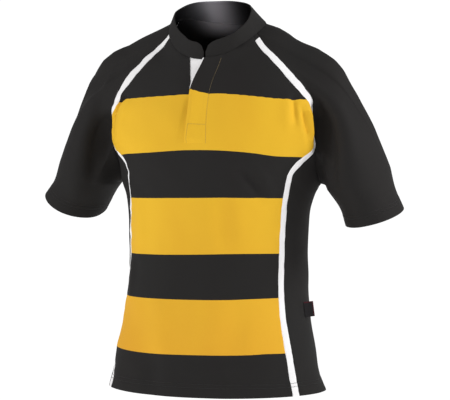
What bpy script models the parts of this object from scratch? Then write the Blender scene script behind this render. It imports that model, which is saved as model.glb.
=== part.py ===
"""A hooped rugby shirt with raglan sleeves, filled out as if worn, from the pieces a maker cuts and sews.

Frame: metres, +Z up. The chest faces -Y and the wearer's left is +X. The origin lies midway between the
shoulders beside the collar, where a wearer carries the shirt.

Every piece is a wall of cloth on one shared surface. The body is a stack of rings, from the hem to the
collar seam; a point on it has an angle, 0 at the centre front and 90 at the wearer's left side, and a
level, the height of its ring at the side. Each sleeve runs in strands from the armhole to a stack of
slanting rings that ends at the cuff. Neighbours meet at a seam with a hair's gap.
"""

import math
from collections import namedtuple

import bpy
import numpy as np

WALL = 0.0016  # cloth thickness
SEAM_GAP = 0.0003  # between neighbours at a seam, and between layers
LAYER = WALL + SEAM_GAP  # from one layer's middle to the next
COLLAR_WALL = 0.0026  # the collar is two layers of cloth
LABEL_SIZE = (0.020, 0.0010, 0.030)  # reach, thickness and height of the woven side label
LABEL_HEIGHT = -0.560
LABEL_ANGLE = 84.0  # where it is sewn on, round the body
LABEL_TURN = math.radians(25)  # from straight out of the side towards the back
LABEL_TILT = math.radians(-7)  # its free end stands a little higher

# The body's rings. side_z, front_z and back_z are the ring's heights, so that the top rings slope down to the
# front. The ring is widest at middle_y, and square is 2 for an ellipse.
Ring = namedtuple("Ring", "side_z front_z back_z half_width middle_y front_y back_y square")
RINGS = [
    Ring(-0.714, -0.720, -0.716, 0.2200, -0.014, -0.142, 0.120, 2.10),  # hem
    Ring(-0.690, -0.693, -0.691, 0.2110, -0.017, -0.141, 0.119, 2.10),
    Ring(-0.640, -0.640, -0.640, 0.2010, -0.012, -0.137, 0.117, 2.10),
    Ring(-0.580, -0.580, -0.580, 0.1880, -0.007, -0.132, 0.113, 2.10),
    Ring(-0.530, -0.530, -0.530, 0.1828, -0.005, -0.126, 0.109, 2.15),
    Ring(-0.470, -0.470, -0.470, 0.1808, -0.005, -0.122, 0.105, 2.15),  # waist
    Ring(-0.415, -0.415, -0.415, 0.1806, -0.004, -0.121, 0.105, 2.15),
    Ring(-0.360, -0.360, -0.360, 0.1820, -0.002, -0.124, 0.107, 2.15),
    Ring(-0.315, -0.315, -0.315, 0.1870, -0.002, -0.128, 0.110, 2.15),  # armpit
    Ring(-0.280, -0.280, -0.280, 0.1980, -0.008, -0.129, 0.112, 2.15),
    Ring(-0.243, -0.244, -0.243, 0.2155, -0.018, -0.129, 0.114, 2.20),  # front corner of the armhole
    Ring(-0.195, -0.205, -0.190, 0.2175, -0.020, -0.127, 0.115, 2.20),  # chest
    Ring(-0.145, -0.168, -0.133, 0.2143, -0.022, -0.121, 0.112, 2.20),
    Ring(-0.100, -0.135, -0.083, 0.1918, -0.022, -0.112, 0.105, 2.10),
    Ring(-0.060, -0.110, -0.043, 0.1540, -0.018, -0.101, 0.094, 2.05),
    Ring(-0.028, -0.093, -0.012, 0.1150, -0.012, -0.093, 0.082, 2.00),
    Ring(-0.0075, -0.080, 0.003, 0.0975, -0.010, -0.088, 0.070, 2.00),  # collar seam
]
# How much lower the wearer's left hangs than the right, per metre out, by height.
Drop = namedtuple("Drop", "z slope")
DROPS = [Drop(-0.720, -0.007), Drop(-0.600, -0.004), Drop(-0.480, 0.0), Drop(-0.400, 0.004), Drop(-0.260, 0.040)]
DROPS += [Drop(-0.100, 0.040), Drop(-0.030, 0.062), Drop(0.0, 0.080)]
ARM_DROP = 0.040  # on the sleeves, at any height

# The tapes in the seams of the front and the back, from the hem up the side, round the armhole and on to the
# collar. The shirt hangs a little turned, so the two front tapes lie differently. The back tapes' angle is counted
# from the centre back.
Tape = namedtuple("Tape", "level left_angle left_width right_angle right_width back_angle back_width")
TAPES = [
    Tape(-0.714, 59.5, 0.0135, 69.5, 0.0130, 61.8, 0.0135),
    Tape(-0.690, 60.5, 0.0130, 71.5, 0.0130, 62.8, 0.0130),
    Tape(-0.670, 60.4, 0.0132, 74.0, 0.0130, 62.3, 0.0130),
    Tape(-0.640, 59.8, 0.0135, 76.5, 0.0130, 61.5, 0.0130),
    Tape(-0.580, 59.2, 0.0125, 77.0, 0.0125, 61.0, 0.0125),
    Tape(-0.530, 58.8, 0.0120, 75.0, 0.0120, 60.0, 0.0120),
    Tape(-0.500, 59.0, 0.0117, 70.0, 0.0110, 59.8, 0.0117),
    Tape(-0.470, 59.4, 0.0113, 63.0, 0.0095, 59.7, 0.0113),
    Tape(-0.440, 59.8, 0.0111, 58.5, 0.0080, 59.8, 0.0111),
    Tape(-0.400, 60.3, 0.0118, 57.8, 0.0065, 60.0, 0.0110),
    Tape(-0.345, 61.5, 0.0112, 57.0, 0.0060, 60.0, 0.0105),
    Tape(-0.310, 62.7, 0.0110, 56.0, 0.0060, 60.0, 0.0105),
    Tape(-0.290, 63.6, 0.0112, 55.4, 0.0065, 60.5, 0.0105),
    Tape(-0.272, 68.4, 0.0140, 60.6, 0.0085, 62.0, 0.0105),
    Tape(-0.257, 73.7, 0.0140, 72.0, 0.0085, 66.0, 0.0100),
    Tape(-0.242, 79.3, 0.0120, 79.0, 0.0100, 69.0, 0.0095),
    Tape(-0.220, 81.5, 0.0105, 81.5, 0.0105, 70.0, 0.0100),
    Tape(-0.195, 80.5, 0.0115, 74.5, 0.0090, 69.5, 0.0115),
    Tape(-0.165, 76.8, 0.0130, 63.5, 0.0115, 67.4, 0.0130),
    Tape(-0.145, 72.7, 0.0150, 59.0, 0.0165, 66.0, 0.0140),
    Tape(-0.100, 65.8, 0.0162, 56.2, 0.0200, 62.0, 0.0145),
    Tape(-0.060, 65.0, 0.0150, 58.4, 0.0185, 61.0, 0.0140),
    Tape(-0.028, 67.3, 0.0135, 62.6, 0.0125, 65.0, 0.0130),
    Tape(-0.0075, 68.5, 0.0120, 63.0, 0.0120, 68.0, 0.0120),
]

# The levels of the rows that every body piece shares.
SKIRT_LEVELS = np.linspace(-0.714, -0.320, 12)
TURN_LEVELS = [-0.300, -0.285, -0.270, -0.2555]
CORNER_LEVEL = -0.243
YOKE_LEVELS = [-0.228, -0.207, -0.186, -0.165, -0.145, -0.125, -0.105, -0.085, -0.065, -0.045, -0.026, -0.0075]
LEVELS = np.array([*SKIRT_LEVELS, *TURN_LEVELS, CORNER_LEVEL, *YOKE_LEVELS])
CORNER_ROW = len(SKIRT_LEVELS) + len(TURN_LEVELS)
PLACKET_ROW = CORNER_ROW  # the placket's bottom edge
CUT_ROW = CORNER_ROW + 1  # the foot of the slit that the placket covers
NECK_ROW = len(LEVELS) - 1

# The underarm: the armhole's floor hangs below its two corners and turns outwards.
ARMHOLE_DIP = 0.064
ARMHOLE_TURN_OUT = 0.020
DIP_STARTS = -0.470  # the level below which the side panel's rows are level

# The placket, in x at the centre front, by height. The slit lies between left_cut and right_cut. The flap
# runs from its free edge to its stitched edge, and lift is how far the free edge stands off.
Placket = namedtuple("Placket", "z left_cut free_edge right_cut stitched_edge lift")
PLACKET = [
    Placket(-0.260, -0.008, -0.0195, 0.0225, 0.0300, 0.0000),
    Placket(-0.235, -0.008, -0.0195, 0.0225, 0.0300, 0.0020),
    Placket(-0.205, -0.008, -0.0145, 0.0225, 0.0295, 0.0050),
    Placket(-0.165, -0.008, -0.0110, 0.0245, 0.0305, 0.0060),
    Placket(-0.143, -0.009, -0.0088, 0.0265, 0.0322, 0.0060),
    Placket(-0.122, -0.014, -0.0045, 0.0295, 0.0350, 0.0050),
    Placket(-0.080, -0.0243, 0.0085, 0.0390, 0.0450, 0.0045),
]
COLLAR_ENDS = (0.0060, 0.0095)  # x of the collar's two ends, either side of the throat
SIDE_COLUMNS = 8  # of the front, from each tape to the placket
BACK_COLUMNS = 14
PANEL_COLUMNS = 6  # of a side panel, and of the armhole's floor
NECK_COLUMNS = 4  # where a sleeve meets the collar

# The collar's top edge, by the angle round it. Its height falls away to a rounded corner at each end.
CollarTop = namedtuple("CollarTop", "angle x y z")
COLLAR_TOP = [
    CollarTop(-180, -0.0321, 0.040, 0.0466),
    CollarTop(-150, -0.0652, 0.036, 0.0460),
    CollarTop(-120, -0.0821, 0.015, 0.0364),
    CollarTop(-90, -0.0820, -0.028, 0.0165),
    CollarTop(-60, -0.0640, -0.058, -0.0140),
    CollarTop(-30, -0.0292, -0.080, -0.0383),
    CollarTop(0, 0.0118, -0.091, -0.0474),
    CollarTop(30, 0.0497, -0.088, -0.0388),
    CollarTop(45, 0.0673, -0.076, -0.0283),
    CollarTop(60, 0.0793, -0.055, -0.0085),
    CollarTop(75, 0.0791, -0.034, 0.0110),
    CollarTop(90, 0.0707, -0.012, 0.0226),
    CollarTop(105, 0.0606, 0.008, 0.0309),
    CollarTop(120, 0.0453, 0.024, 0.0374),
    CollarTop(150, 0.0054, 0.038, 0.0449),
]
COLLAR_ROWS = 4
COLLAR_END_SHARE = 0.42  # of the full height, at the very end
COLLAR_CORNER = 0.024  # how far along the corner is rounded

# The sleeve's slanting rings: the first just clear of the armpit, the last at the cuff. across and deep are
# the half widths, and twist turns the deep one outwards. rise is how much higher the outside lies per metre, and
# drop how much lower the front lies.
SleeveRing = namedtuple("SleeveRing", "x y z across rise deep drop twist")
SLEEVE_RINGS = {
    "left": [
        SleeveRing(0.2835, 0.008, -0.297, 0.0590, 0.376, 0.080, 0.14, 8.0),
        SleeveRing(0.3015, 0.008, -0.333, 0.0520, 0.345, 0.076, 0.15, 14.0),
        SleeveRing(0.3165, 0.006, -0.3680, 0.0535, 0.335, 0.073, 0.15, 20.0),
    ],
    "right": [
        SleeveRing(0.2830, 0.008, -0.297, 0.0585, 0.430, 0.079, 0.14, 8.0),
        SleeveRing(0.2985, 0.008, -0.330, 0.0495, 0.540, 0.075, 0.15, 14.0),
        SleeveRing(0.3180, 0.006, -0.3608, 0.0499, 0.660, 0.073, 0.15, 20.0),
    ],
}
SLEEVE_AXIS = np.array([0.36, 0.02, -0.93])
SPREAD = {"shoulder": 0.04, "chest": 5.0}  # how far the strands turn away from the seam
SHOULDER_FACES = np.array([0.33, 0.00, 0.94])  # the way the cloth faces beside the collar
FULLNESS = {"left": 0.08, "right": 0.30}  # of the sleeve head
CAP_STATIONS = 10  # from the armhole to the first ring
ARM_STATIONS = 4  # from the first ring to the cuff

# The largest folds. Each runs through three points, depth is its height off the cloth, negative for a trough, and
# width its reach to either side.
Fold = namedtuple("Fold", "start middle end width depth")
FOLDS = [
    # the seams of the two sleeves sink beside the chest, which fills out in front of them
    Fold((0.2130, -0.046, -0.172), (0.2165, -0.041, -0.205), (0.2175, -0.040, -0.238), 0.011, -0.019),
    Fold((-0.2120, -0.050, -0.190), (-0.2150, -0.043, -0.215), (-0.2165, -0.042, -0.240), 0.011, -0.009),
    Fold((0.196, -0.069, -0.165), (0.204, -0.061, -0.200), (0.206, -0.059, -0.236), 0.018, 0.009),
    # the shoulders, the wearer's left upper arm and the right hip
    Fold((0.118, 0.008, -0.018), (0.180, 0.004, -0.044), (0.250, 0.000, -0.086), 0.030, 0.0065),
    Fold((-0.205, -0.010, -0.045), (-0.235, -0.010, -0.062), (-0.262, -0.008, -0.085), 0.028, 0.007),
    Fold((0.268, 0.000, -0.110), (0.287, 0.000, -0.145), (0.304, 0.000, -0.190), 0.030, -0.0045),
    Fold((-0.185, -0.040, -0.510), (-0.196, -0.040, -0.575), (-0.210, -0.040, -0.660), 0.040, 0.006),
    # the wearer's left chest
    Fold((0.176, -0.088, -0.158), (0.175, -0.089, -0.190), (0.176, -0.089, -0.222), 0.011, 0.004),
    # the waist, and beside the placket
    Fold((0.090, -0.115, -0.290), (0.112, -0.105, -0.318), (0.130, -0.095, -0.350), 0.011, -0.006),
    Fold((0.106, -0.110, -0.276), (0.127, -0.098, -0.302), (0.146, -0.085, -0.332), 0.010, 0.004),
    Fold((0.045, -0.122, -0.375), (0.052, -0.121, -0.400), (0.056, -0.120, -0.430), 0.014, 0.003),
    Fold((-0.150, -0.080, -0.455), (-0.152, -0.078, -0.498), (-0.155, -0.075, -0.540), 0.012, 0.004),
    # the hem
    Fold((0.170, -0.070, -0.650), (0.176, -0.066, -0.690), (0.180, -0.062, -0.722), 0.014, 0.005),
    Fold((-0.080, -0.130, -0.640), (-0.085, -0.133, -0.680), (-0.088, -0.134, -0.725), 0.022, -0.005),
    Fold((0.060, -0.134, -0.640), (0.062, -0.136, -0.680), (0.064, -0.138, -0.725), 0.024, 0.004),
    # the sleeves
    Fold((0.225, -0.040, -0.170), (0.246, -0.050, -0.250), (0.262, -0.062, -0.330), 0.014, -0.006),
    Fold((0.222, -0.020, -0.245), (0.230, -0.040, -0.265), (0.240, -0.055, -0.280), 0.010, 0.004),
    Fold((0.262, -0.050, -0.150), (0.280, -0.056, -0.230), (0.300, -0.060, -0.330), 0.018, 0.005),
    Fold((-0.225, -0.040, -0.150), (-0.242, -0.050, -0.240), (-0.252, -0.062, -0.330), 0.014, -0.007),
    Fold((-0.250, -0.055, -0.160), (-0.272, -0.058, -0.250), (-0.290, -0.060, -0.340), 0.016, 0.005),
    Fold((0.230, 0.060, -0.170), (0.250, 0.078, -0.245), (0.265, 0.095, -0.320), 0.014, -0.006),
    Fold((0.262, 0.060, -0.150), (0.282, 0.070, -0.235), (0.300, 0.080, -0.320), 0.016, 0.005),
    Fold((-0.232, 0.060, -0.170), (-0.250, 0.078, -0.245), (-0.262, 0.095, -0.320), 0.014, -0.006),
    Fold((-0.262, 0.060, -0.140), (-0.280, 0.070, -0.230), (-0.296, 0.080, -0.330), 0.016, 0.005),
    # the back
    Fold((0.060, 0.110, -0.190), (0.095, 0.108, -0.250), (0.120, 0.105, -0.330), 0.018, -0.006),
    Fold((0.030, 0.112, -0.180), (0.060, 0.110, -0.260), (0.090, 0.108, -0.350), 0.018, 0.004),
    Fold((-0.060, 0.110, -0.190), (-0.100, 0.105, -0.240), (-0.130, 0.100, -0.310), 0.018, -0.006),
    Fold((0.040, 0.112, -0.410), (0.085, 0.100, -0.440), (0.130, 0.085, -0.470), 0.014, 0.005),
    Fold((0.020, 0.112, -0.450), (0.070, 0.104, -0.478), (0.120, 0.088, -0.502), 0.013, -0.005),
    Fold((-0.030, 0.112, -0.440), (-0.075, 0.100, -0.472), (-0.125, 0.086, -0.500), 0.014, -0.005),
    Fold((-0.060, 0.118, -0.620), (-0.066, 0.119, -0.670), (-0.070, 0.119, -0.720), 0.022, 0.005),
    Fold((0.070, 0.118, -0.630), (0.076, 0.119, -0.675), (0.080, 0.119, -0.720), 0.020, -0.005),
]
TAPER = 0.4  # of half a fold's run, over which it keeps its full depth

GOLD = (0.78, 0.42, 0.03)
BLACK = (0.024, 0.023, 0.022)
WHITE = (0.86, 0.86, 0.86)
LABEL_BLACK = (0.012, 0.011, 0.012)


def curve_through(knots, values):
    """A smooth function through the values, with slopes taken from the neighbours."""
    knots, values = np.asarray(knots, float), np.asarray(values, float)
    slopes = np.gradient(values, knots)

    def at(where):
        where = np.clip(where, knots[0], knots[-1])
        i = np.clip(np.searchsorted(knots, where, side="right") - 1, 0, len(knots) - 2)
        step = knots[i + 1] - knots[i]
        t = (where - knots[i]) / step
        start = (1 + 2 * t) * (1 - t) ** 2 * values[i] + t * (1 - t) ** 2 * step * slopes[i]
        return start + t**2 * (3 - 2 * t) * values[i + 1] - t**2 * (1 - t) * step * slopes[i + 1]

    return at


def columns_of(table, knot):
    """One smooth function for each column of a table of rows, by the column named knot."""
    knots = [getattr(row, knot) for row in table]
    return {name: curve_through(knots, [getattr(row, name) for row in table]) for name in table[0]._fields}


RING_AT = columns_of(RINGS, "side_z")
TAPE_AT = columns_of(TAPES, "level")
PLACKET_AT = columns_of(PLACKET, "z")
DROP_AT = columns_of(DROPS, "z")


def ring_height(front, side, back, angle):
    """The height of a sloping ring at an angle: even round the side, whatever the front and back heights."""
    wave = ((front + back) / 2 - side) / 2
    return side + wave + (front - back) / 2 * np.cos(angle) + wave * np.cos(2 * angle)


def body(angle, level):
    """Points of the body's surface. The angle is in radians."""
    angle, level = np.broadcast_arrays(np.asarray(angle, float), np.asarray(level, float))
    ring = {name: column(level) for name, column in RING_AT.items()}
    sine, cosine = np.sin(angle), np.cos(angle)
    power = 2 / ring["square"]
    reach = np.where(cosine > 0, ring["front_y"], ring["back_y"]) - ring["middle_y"]
    x = ring["half_width"] * np.sign(sine) * np.abs(sine) ** power
    y = ring["middle_y"] + reach * np.abs(cosine) ** power
    z = ring_height(ring["front_z"], ring["side_z"], ring["back_z"], angle)
    return np.stack([x, y, z], axis=-1)


def dropped(points):
    """The same points with the wearer's left shoulder lower and the right one higher."""
    on_arm = np.clip((np.abs(points[..., 0]) - 0.21) / 0.03, 0, 1) * (points[..., 2] > -0.45)
    slope = DROP_AT["slope"](points[..., 2])
    slope += (ARM_DROP - slope) * on_arm
    return points - (points[..., 0] * slope)[..., None] * [0, 0, 1]


def angle_of_x(x, level):
    """The angle at which the front of the ring at a level has this x."""
    share = np.abs(x) / RING_AT["half_width"](level)
    return np.sign(x) * np.arcsin(share ** (RING_AT["square"](level) / 2))


def unit(vectors):
    return vectors / np.maximum(np.linalg.norm(vectors, axis=-1, keepdims=True), 1e-12)


def body_slopes(angle, level):
    """How a point of the body moves with its angle and with its level."""
    eps = 1e-4
    by_angle = (body(angle + eps, level) - body(angle - eps, level)) / (2 * eps)
    by_level = (body(angle, level + eps) - body(angle, level - eps)) / (2 * eps)
    return by_angle, by_level


def tape_lines(tape):
    """The two long edges of a tape, as (angle, level) pairs by row: first the edge on the front or back panel, then
    the other. tape is "left" or "right" for a front one and "back" for a back one, and all are laid on the
    wearer's left."""
    eps = 1e-4
    turned = -1 if tape == "back" else 1

    def centre(level):
        angle = np.radians(TAPE_AT[tape + "_angle"](level))
        return math.pi - angle if tape == "back" else angle

    angle = centre(LEVELS)
    along = body(centre(LEVELS + eps), LEVELS + eps) - body(centre(LEVELS - eps), LEVELS - eps)
    by_angle, by_level = body_slopes(angle, LEVELS)
    across = unit(np.cross(along, np.cross(by_angle, by_level))) * turned
    # At the hem and the collar seam the tape is cut along the ring.
    for row in (0, NECK_ROW):
        across[row] = unit(by_angle[row]) * turned
    edges = []
    for reach in (-0.5, 0.5):
        shift = across * (reach * TAPE_AT[tape + "_width"](LEVELS))[:, None]
        solved = [
            np.linalg.lstsq(np.stack([by_angle[i], by_level[i]], axis=1), shift[i], rcond=None)[0]
            for i in range(len(LEVELS))
        ]
        solved = np.array(solved)
        edges.append((angle + solved[:, 0], LEVELS + solved[:, 1]))
    return edges


def spaced(start, end, count):
    """count + 1 values from start to end, by row."""
    return np.linspace(start, end, count + 1, axis=-1)


def front_places(left_edge, right_edge):
    """The angle and the level of every point of the front, between the tapes' edges: even from a tape to the
    placket, and along its edges between. The slit lies between columns SIDE_COLUMNS + 1 and SIDE_COLUMNS + 4."""
    level = (left_edge[1] + right_edge[1]) / 2
    placket = {name: column(RING_AT["front_z"](level)) for name, column in PLACKET_AT.items()}
    left_cut, right_cut = placket["left_cut"], placket["right_cut"]
    hidden = np.minimum(placket["free_edge"], left_cut - 0.005)
    end_share = [(end - left_cut[-1]) / (right_cut[-1] - left_cut[-1]) for end in COLLAR_ENDS]
    ends = [left_cut + share * (right_cut - left_cut) for share in end_share]
    middle = [hidden, left_cut, *ends, right_cut, placket["stitched_edge"]]
    middle = np.stack([angle_of_x(x, level) for x in middle], axis=-1)
    levels = np.repeat(level[:, None], middle.shape[1], axis=1)
    places = []
    for start, between, end in ((-right_edge[0], middle, left_edge[0]), (right_edge[1], levels, left_edge[1])):
        right, left = spaced(start, between[:, 0], SIDE_COLUMNS), spaced(between[:, -1], end, SIDE_COLUMNS)
        places.append(np.concatenate([right[:, :-1], between, left[:, 1:]], axis=1))
    return places


def armhole_floor(levels, share):
    """How far the side panel's rows sag below their ends, and how far they turn outwards."""
    rise = np.clip((levels - DIP_STARTS) / (CORNER_LEVEL - DIP_STARTS), 0, 1)[:, None]
    hang = 1 - (2 * share - 1) ** 2
    return ARMHOLE_DIP * rise**2 * hang, ARMHOLE_TURN_OUT * rise**2.5 * hang


def side_panel(front_edge, back_edge):
    rows = slice(0, CORNER_ROW + 1)
    share = np.linspace(0, 1, PANEL_COLUMNS + 1)
    angle = spaced(front_edge[0][rows], back_edge[0][rows], PANEL_COLUMNS)
    level = spaced(front_edge[1][rows], back_edge[1][rows], PANEL_COLUMNS)
    sag, turn_out = armhole_floor(LEVELS[rows], share)
    points = body(angle, level - sag)
    points[..., 0] += turn_out
    return points


def sleeve_ring(side, place, turn):
    """Points round the sleeve at a place along its rings, 0 for the first and 1 for the cuff. A turn of 0 is under
    the arm, a quarter turn is the front and a half turn the outside."""
    knots = np.linspace(0, 1, len(SLEEVE_RINGS[side]))
    columns = zip(SleeveRing._fields, zip(*SLEEVE_RINGS[side]))
    ring = {name: curve_through(knots, values)(place) for name, values in columns}
    centre = np.array([ring["x"], ring["y"], ring["z"]])
    twist = np.radians(ring["twist"])
    across = np.array([np.cos(twist), np.sin(twist), ring["rise"]]) * ring["across"]
    forward = np.array([np.sin(twist), -np.cos(twist), -ring["drop"]]) * ring["deep"]
    return centre - np.cos(turn)[:, None] * across + np.sin(turn)[:, None] * forward


def armhole(floor, front_edge, back_edge):
    """The closed line where the wearer's left sleeve starts, from the armpit round by the front, and the way the
    cloth faces at each of its points."""
    rows = slice(CORNER_ROW, NECK_ROW + 1)
    sides = []
    for angle, level in (front_edge, back_edge):
        angle, level = angle[rows], level[rows]
        sides.append((body(angle, level), unit(np.cross(*body_slopes(angle, level)))))
    (front, front_out), (back, back_out) = sides
    neck = body(np.linspace(front_edge[0][-1], back_edge[0][-1], NECK_COLUMNS + 1)[1:-1], LEVELS[-1])
    middle = PANEL_COLUMNS // 2
    below = np.tile([0.0, 0.0, -1.0], (middle, 1))
    line = np.concatenate([floor[middle:0:-1], front, neck, back[::-1], floor[-2:middle:-1]])
    shoulder = np.tile(SHOULDER_FACES, (NECK_COLUMNS - 1, 1))
    facing = np.concatenate([below, front_out, shoulder, back_out[::-1], below[1:]])
    for _ in range(2):
        facing = unit(np.roll(facing, 1, axis=0) + 2 * facing + np.roll(facing, -1, axis=0))
    return line, facing


def sleeve(line, facing, side):
    """A sleeve on the wearer's left: a strand of cloth from each point of the armhole to the cuff."""
    steps = np.linalg.norm(np.roll(line, -1, axis=0) - line, axis=1)
    turn = 2 * math.pi * np.concatenate([[0], np.cumsum(steps)[:-1]]) / steps.sum()
    first = sleeve_ring(side, 0.0, turn)
    reach = np.linalg.norm(first - line, axis=1, keepdims=True)
    top = ((1 - np.cos(turn)) / 2)[:, None]  # 0 under the arm, 1 on the shoulder
    # A strand makes for its place on the arm. Near the shoulder it sets off along the body's own surface, and
    # beside the chest and the back it first goes away from the seam.
    away = unit(np.cross(np.roll(line, -1, axis=0) - np.roll(line, 1, axis=0), facing))
    way = unit(first - line)
    way -= facing * np.sum(way * facing, axis=1, keepdims=True) * top
    way = unit(way + away * top * (SPREAD["shoulder"] + SPREAD["chest"] * (1 - top) ** 2))
    leave = line + way * reach * (0.36 + FULLNESS[side] * top)
    arrive = first - unit(SLEEVE_AXIS) * reach * (0.32 + 0.22 * top)
    stations = []
    for t in np.linspace(0, 1, CAP_STATIONS + 1)[:-1]:
        strand = (1 - t) ** 3 * line + 3 * t * (1 - t) ** 2 * leave
        stations.append(strand + 3 * t**2 * (1 - t) * arrive + t**3 * first)
    for place in np.linspace(0, 1, ARM_STATIONS + 1):
        stations.append(sleeve_ring(side, place, turn))
    return np.array(stations)


def collar(neck_points):
    """The stand collar, on the points of the collar seam from one end round the back to the other."""
    base = neck_points
    seam = RINGS[-1]
    ahead = base[:, 1] - seam.middle_y
    ahead = np.where(ahead < 0, ahead / (seam.front_y - seam.middle_y), -ahead / (seam.back_y - seam.middle_y))
    angle = np.arctan2(base[:, 0] / seam.half_width, ahead)
    knots = np.radians([row.angle + turn for turn in (-360, 0, 360) for row in COLLAR_TOP])
    top = np.stack([curve_through(knots, [row[k] for row in COLLAR_TOP] * 3)(angle) for k in (1, 2, 3)], axis=-1)
    steps = np.linalg.norm(base[1:] - base[:-1], axis=1)
    walked = np.concatenate([[0], np.cumsum(steps)])
    from_end = np.minimum(walked, walked[-1] - walked) / COLLAR_CORNER
    rounding = np.sqrt(np.clip(1 - (1 - np.clip(from_end, 0, 1)) ** 2, 0, 1))
    share = COLLAR_END_SHARE + (1 - COLLAR_END_SHARE) * rounding
    up = np.linspace(0, 1, COLLAR_ROWS + 1)[:, None, None]
    # The top edge keeps its place along the collar near the ends, where it would otherwise slant.
    keep = np.clip(1 - from_end / 3, 0, 1)[:, None]
    top = top * (1 - keep) + (base + [0, 0.004, 1] * (top[:, 2] - base[:, 2])[:, None]) * keep
    return base + (top - base) * share[:, None] * up


def folds_at(points):
    """How far the cloth stands off its smooth surface at each point."""
    flat = points.reshape(-1, 3)
    total = np.zeros(len(flat))
    t = np.linspace(0, 1, 9)[:, None]
    for fold in FOLDS:
        start, middle, end = (np.array(p) for p in (fold.start, fold.middle, fold.end))
        control = 2 * middle - (start + end) / 2
        line = (1 - t) ** 2 * start + 2 * t * (1 - t) * control + t**2 * end
        reach = 3 * fold.width
        near = np.all((flat > line.min(0) - reach) & (flat < line.max(0) + reach), axis=1)
        spots = flat[near]
        if not len(spots):
            continue
        best, where = np.full(len(spots), 1.0), np.zeros(len(spots))
        for k, (a, b) in enumerate(zip(line, line[1:])):
            run = b - a
            along = (spots - a) @ run / (run @ run)
            away = np.linalg.norm(spots - a - np.clip(along, 0, 1)[:, None] * run, axis=1)
            closer = away < best
            best[closer], where[closer] = away[closer], (k + along[closer]) / (len(line) - 1)
        taper = np.clip(1 - np.clip(np.abs(2 * where - 1) - TAPER, 0, 1), 0, 1)
        total[near] += fold.depth * np.exp(-((best / fold.width) ** 2)) * taper
    return total.reshape(points.shape[:-1])


def grid_faces(shape, kept=None, closed=False):
    """The corners of a grid's cells, as indices, leaving out the cells that kept says are cut away."""
    rows, columns = shape
    faces = []
    for i in range(rows - 1):
        for j in range(columns if closed else columns - 1):
            if kept is None or kept[i, j]:
                k = (j + 1) % columns
                faces.append((i * columns + j, i * columns + k, (i + 1) * columns + k, (i + 1) * columns + j))
    return faces


def shared_normals(grids):
    """A normal for every point of every grid, the same for points that neighbours share."""
    sums = {}
    keys = {}
    for name, (points, closed) in grids.items():
        flat = points.reshape(-1, 3)
        keys[name] = [tuple(key) for key in np.round(flat * 1e5).astype(int)]
        faces = np.array(grid_faces(points.shape[:2], closed=closed))
        crosses = np.cross(flat[faces[:, 2]] - flat[faces[:, 0]], flat[faces[:, 3]] - flat[faces[:, 1]])
        for face, cross in zip(faces, crosses):
            for corner in face:
                key = keys[name][corner]
                sums[key] = sums.get(key, 0) + cross
    return {
        name: unit(np.array([sums[key] for key in keys[name]])).reshape(points.shape)
        for name, (points, closed) in grids.items()
    }


def inwards(edge, inner, closed=False):
    """From each point of an edge, square to the edge and towards the next row."""
    along = np.roll(edge, -1, axis=0) - np.roll(edge, 1, axis=0) if closed else np.gradient(edge, axis=0)
    along = unit(along)
    step = inner - edge
    return unit(step - along * np.sum(step * along, axis=-1, keepdims=True))


def draw_in(points, gap, first_row=False, last_row=False, sides=False, closed=False):
    """Moves the named edges of a grid inwards by half the seam gap."""
    points = points.copy()
    if sides:
        left, right = inwards(points[:, 0], points[:, 1]), inwards(points[:, -1], points[:, -2])
        points[:, 0] += left * gap / 2
        points[:, -1] += right * gap / 2
    if first_row:
        points[0] += inwards(points[0], points[1], closed) * gap / 2
    if last_row:
        points[-1] += inwards(points[-1], points[-2], closed) * gap / 2
    return points


def halved(points, faces):
    """Every cell as two triangles, along its shorter diagonal, so that both sides of the cloth fold alike."""
    triangles = []
    for a, b, c, d in faces:
        if np.linalg.norm(points[a] - points[c]) <= np.linalg.norm(points[b] - points[d]):
            triangles += [(a, b, c), (a, c, d)]
        else:
            triangles += [(a, b, d), (b, c, d)]
    return triangles


def cloth(name, points, normals, material, wall=WALL, kept=None, closed=False):
    """A closed wall of cloth on a grid of points, half its thickness to either side."""
    flat, flat_normals = points.reshape(-1, 3), normals.reshape(-1, 3)
    faces = halved(flat, grid_faces(points.shape[:2], kept, closed))
    used = sorted({corner for face in faces for corner in face})
    outer = {old: new for new, old in enumerate(used)}
    inner = {old: new + len(used) for new, old in enumerate(used)}
    vertices = [flat[k] + flat_normals[k] * wall / 2 for k in used]
    vertices += [flat[k] - flat_normals[k] * wall / 2 for k in used]
    edges = {}
    solid = []
    for face in faces:
        solid.append([outer[k] for k in face])
        solid.append([inner[k] for k in reversed(face)])
        for a, b in zip(face, face[1:] + face[:1]):
            edges[(a, b)] = edges.get((a, b), 0) + 1
    for a, b in edges:
        if (b, a) not in edges:
            solid.append([outer[b], outer[a], inner[a], inner[b]])
    mesh = bpy.data.meshes.new(name)
    mesh.from_pydata(vertices, [], solid)
    mesh.shade_smooth()
    mesh.set_sharp_from_angle(angle=math.radians(40))
    piece = bpy.data.objects.new(name, mesh)
    mesh.materials.append(material)
    bpy.data.collections["rugby_shirt"].objects.link(piece)
    return piece


def flipped(points):
    """The same piece on the wearer's right, with its columns in the other order so that it faces out."""
    return (points * [-1, 1, 1])[:, ::-1]


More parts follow.
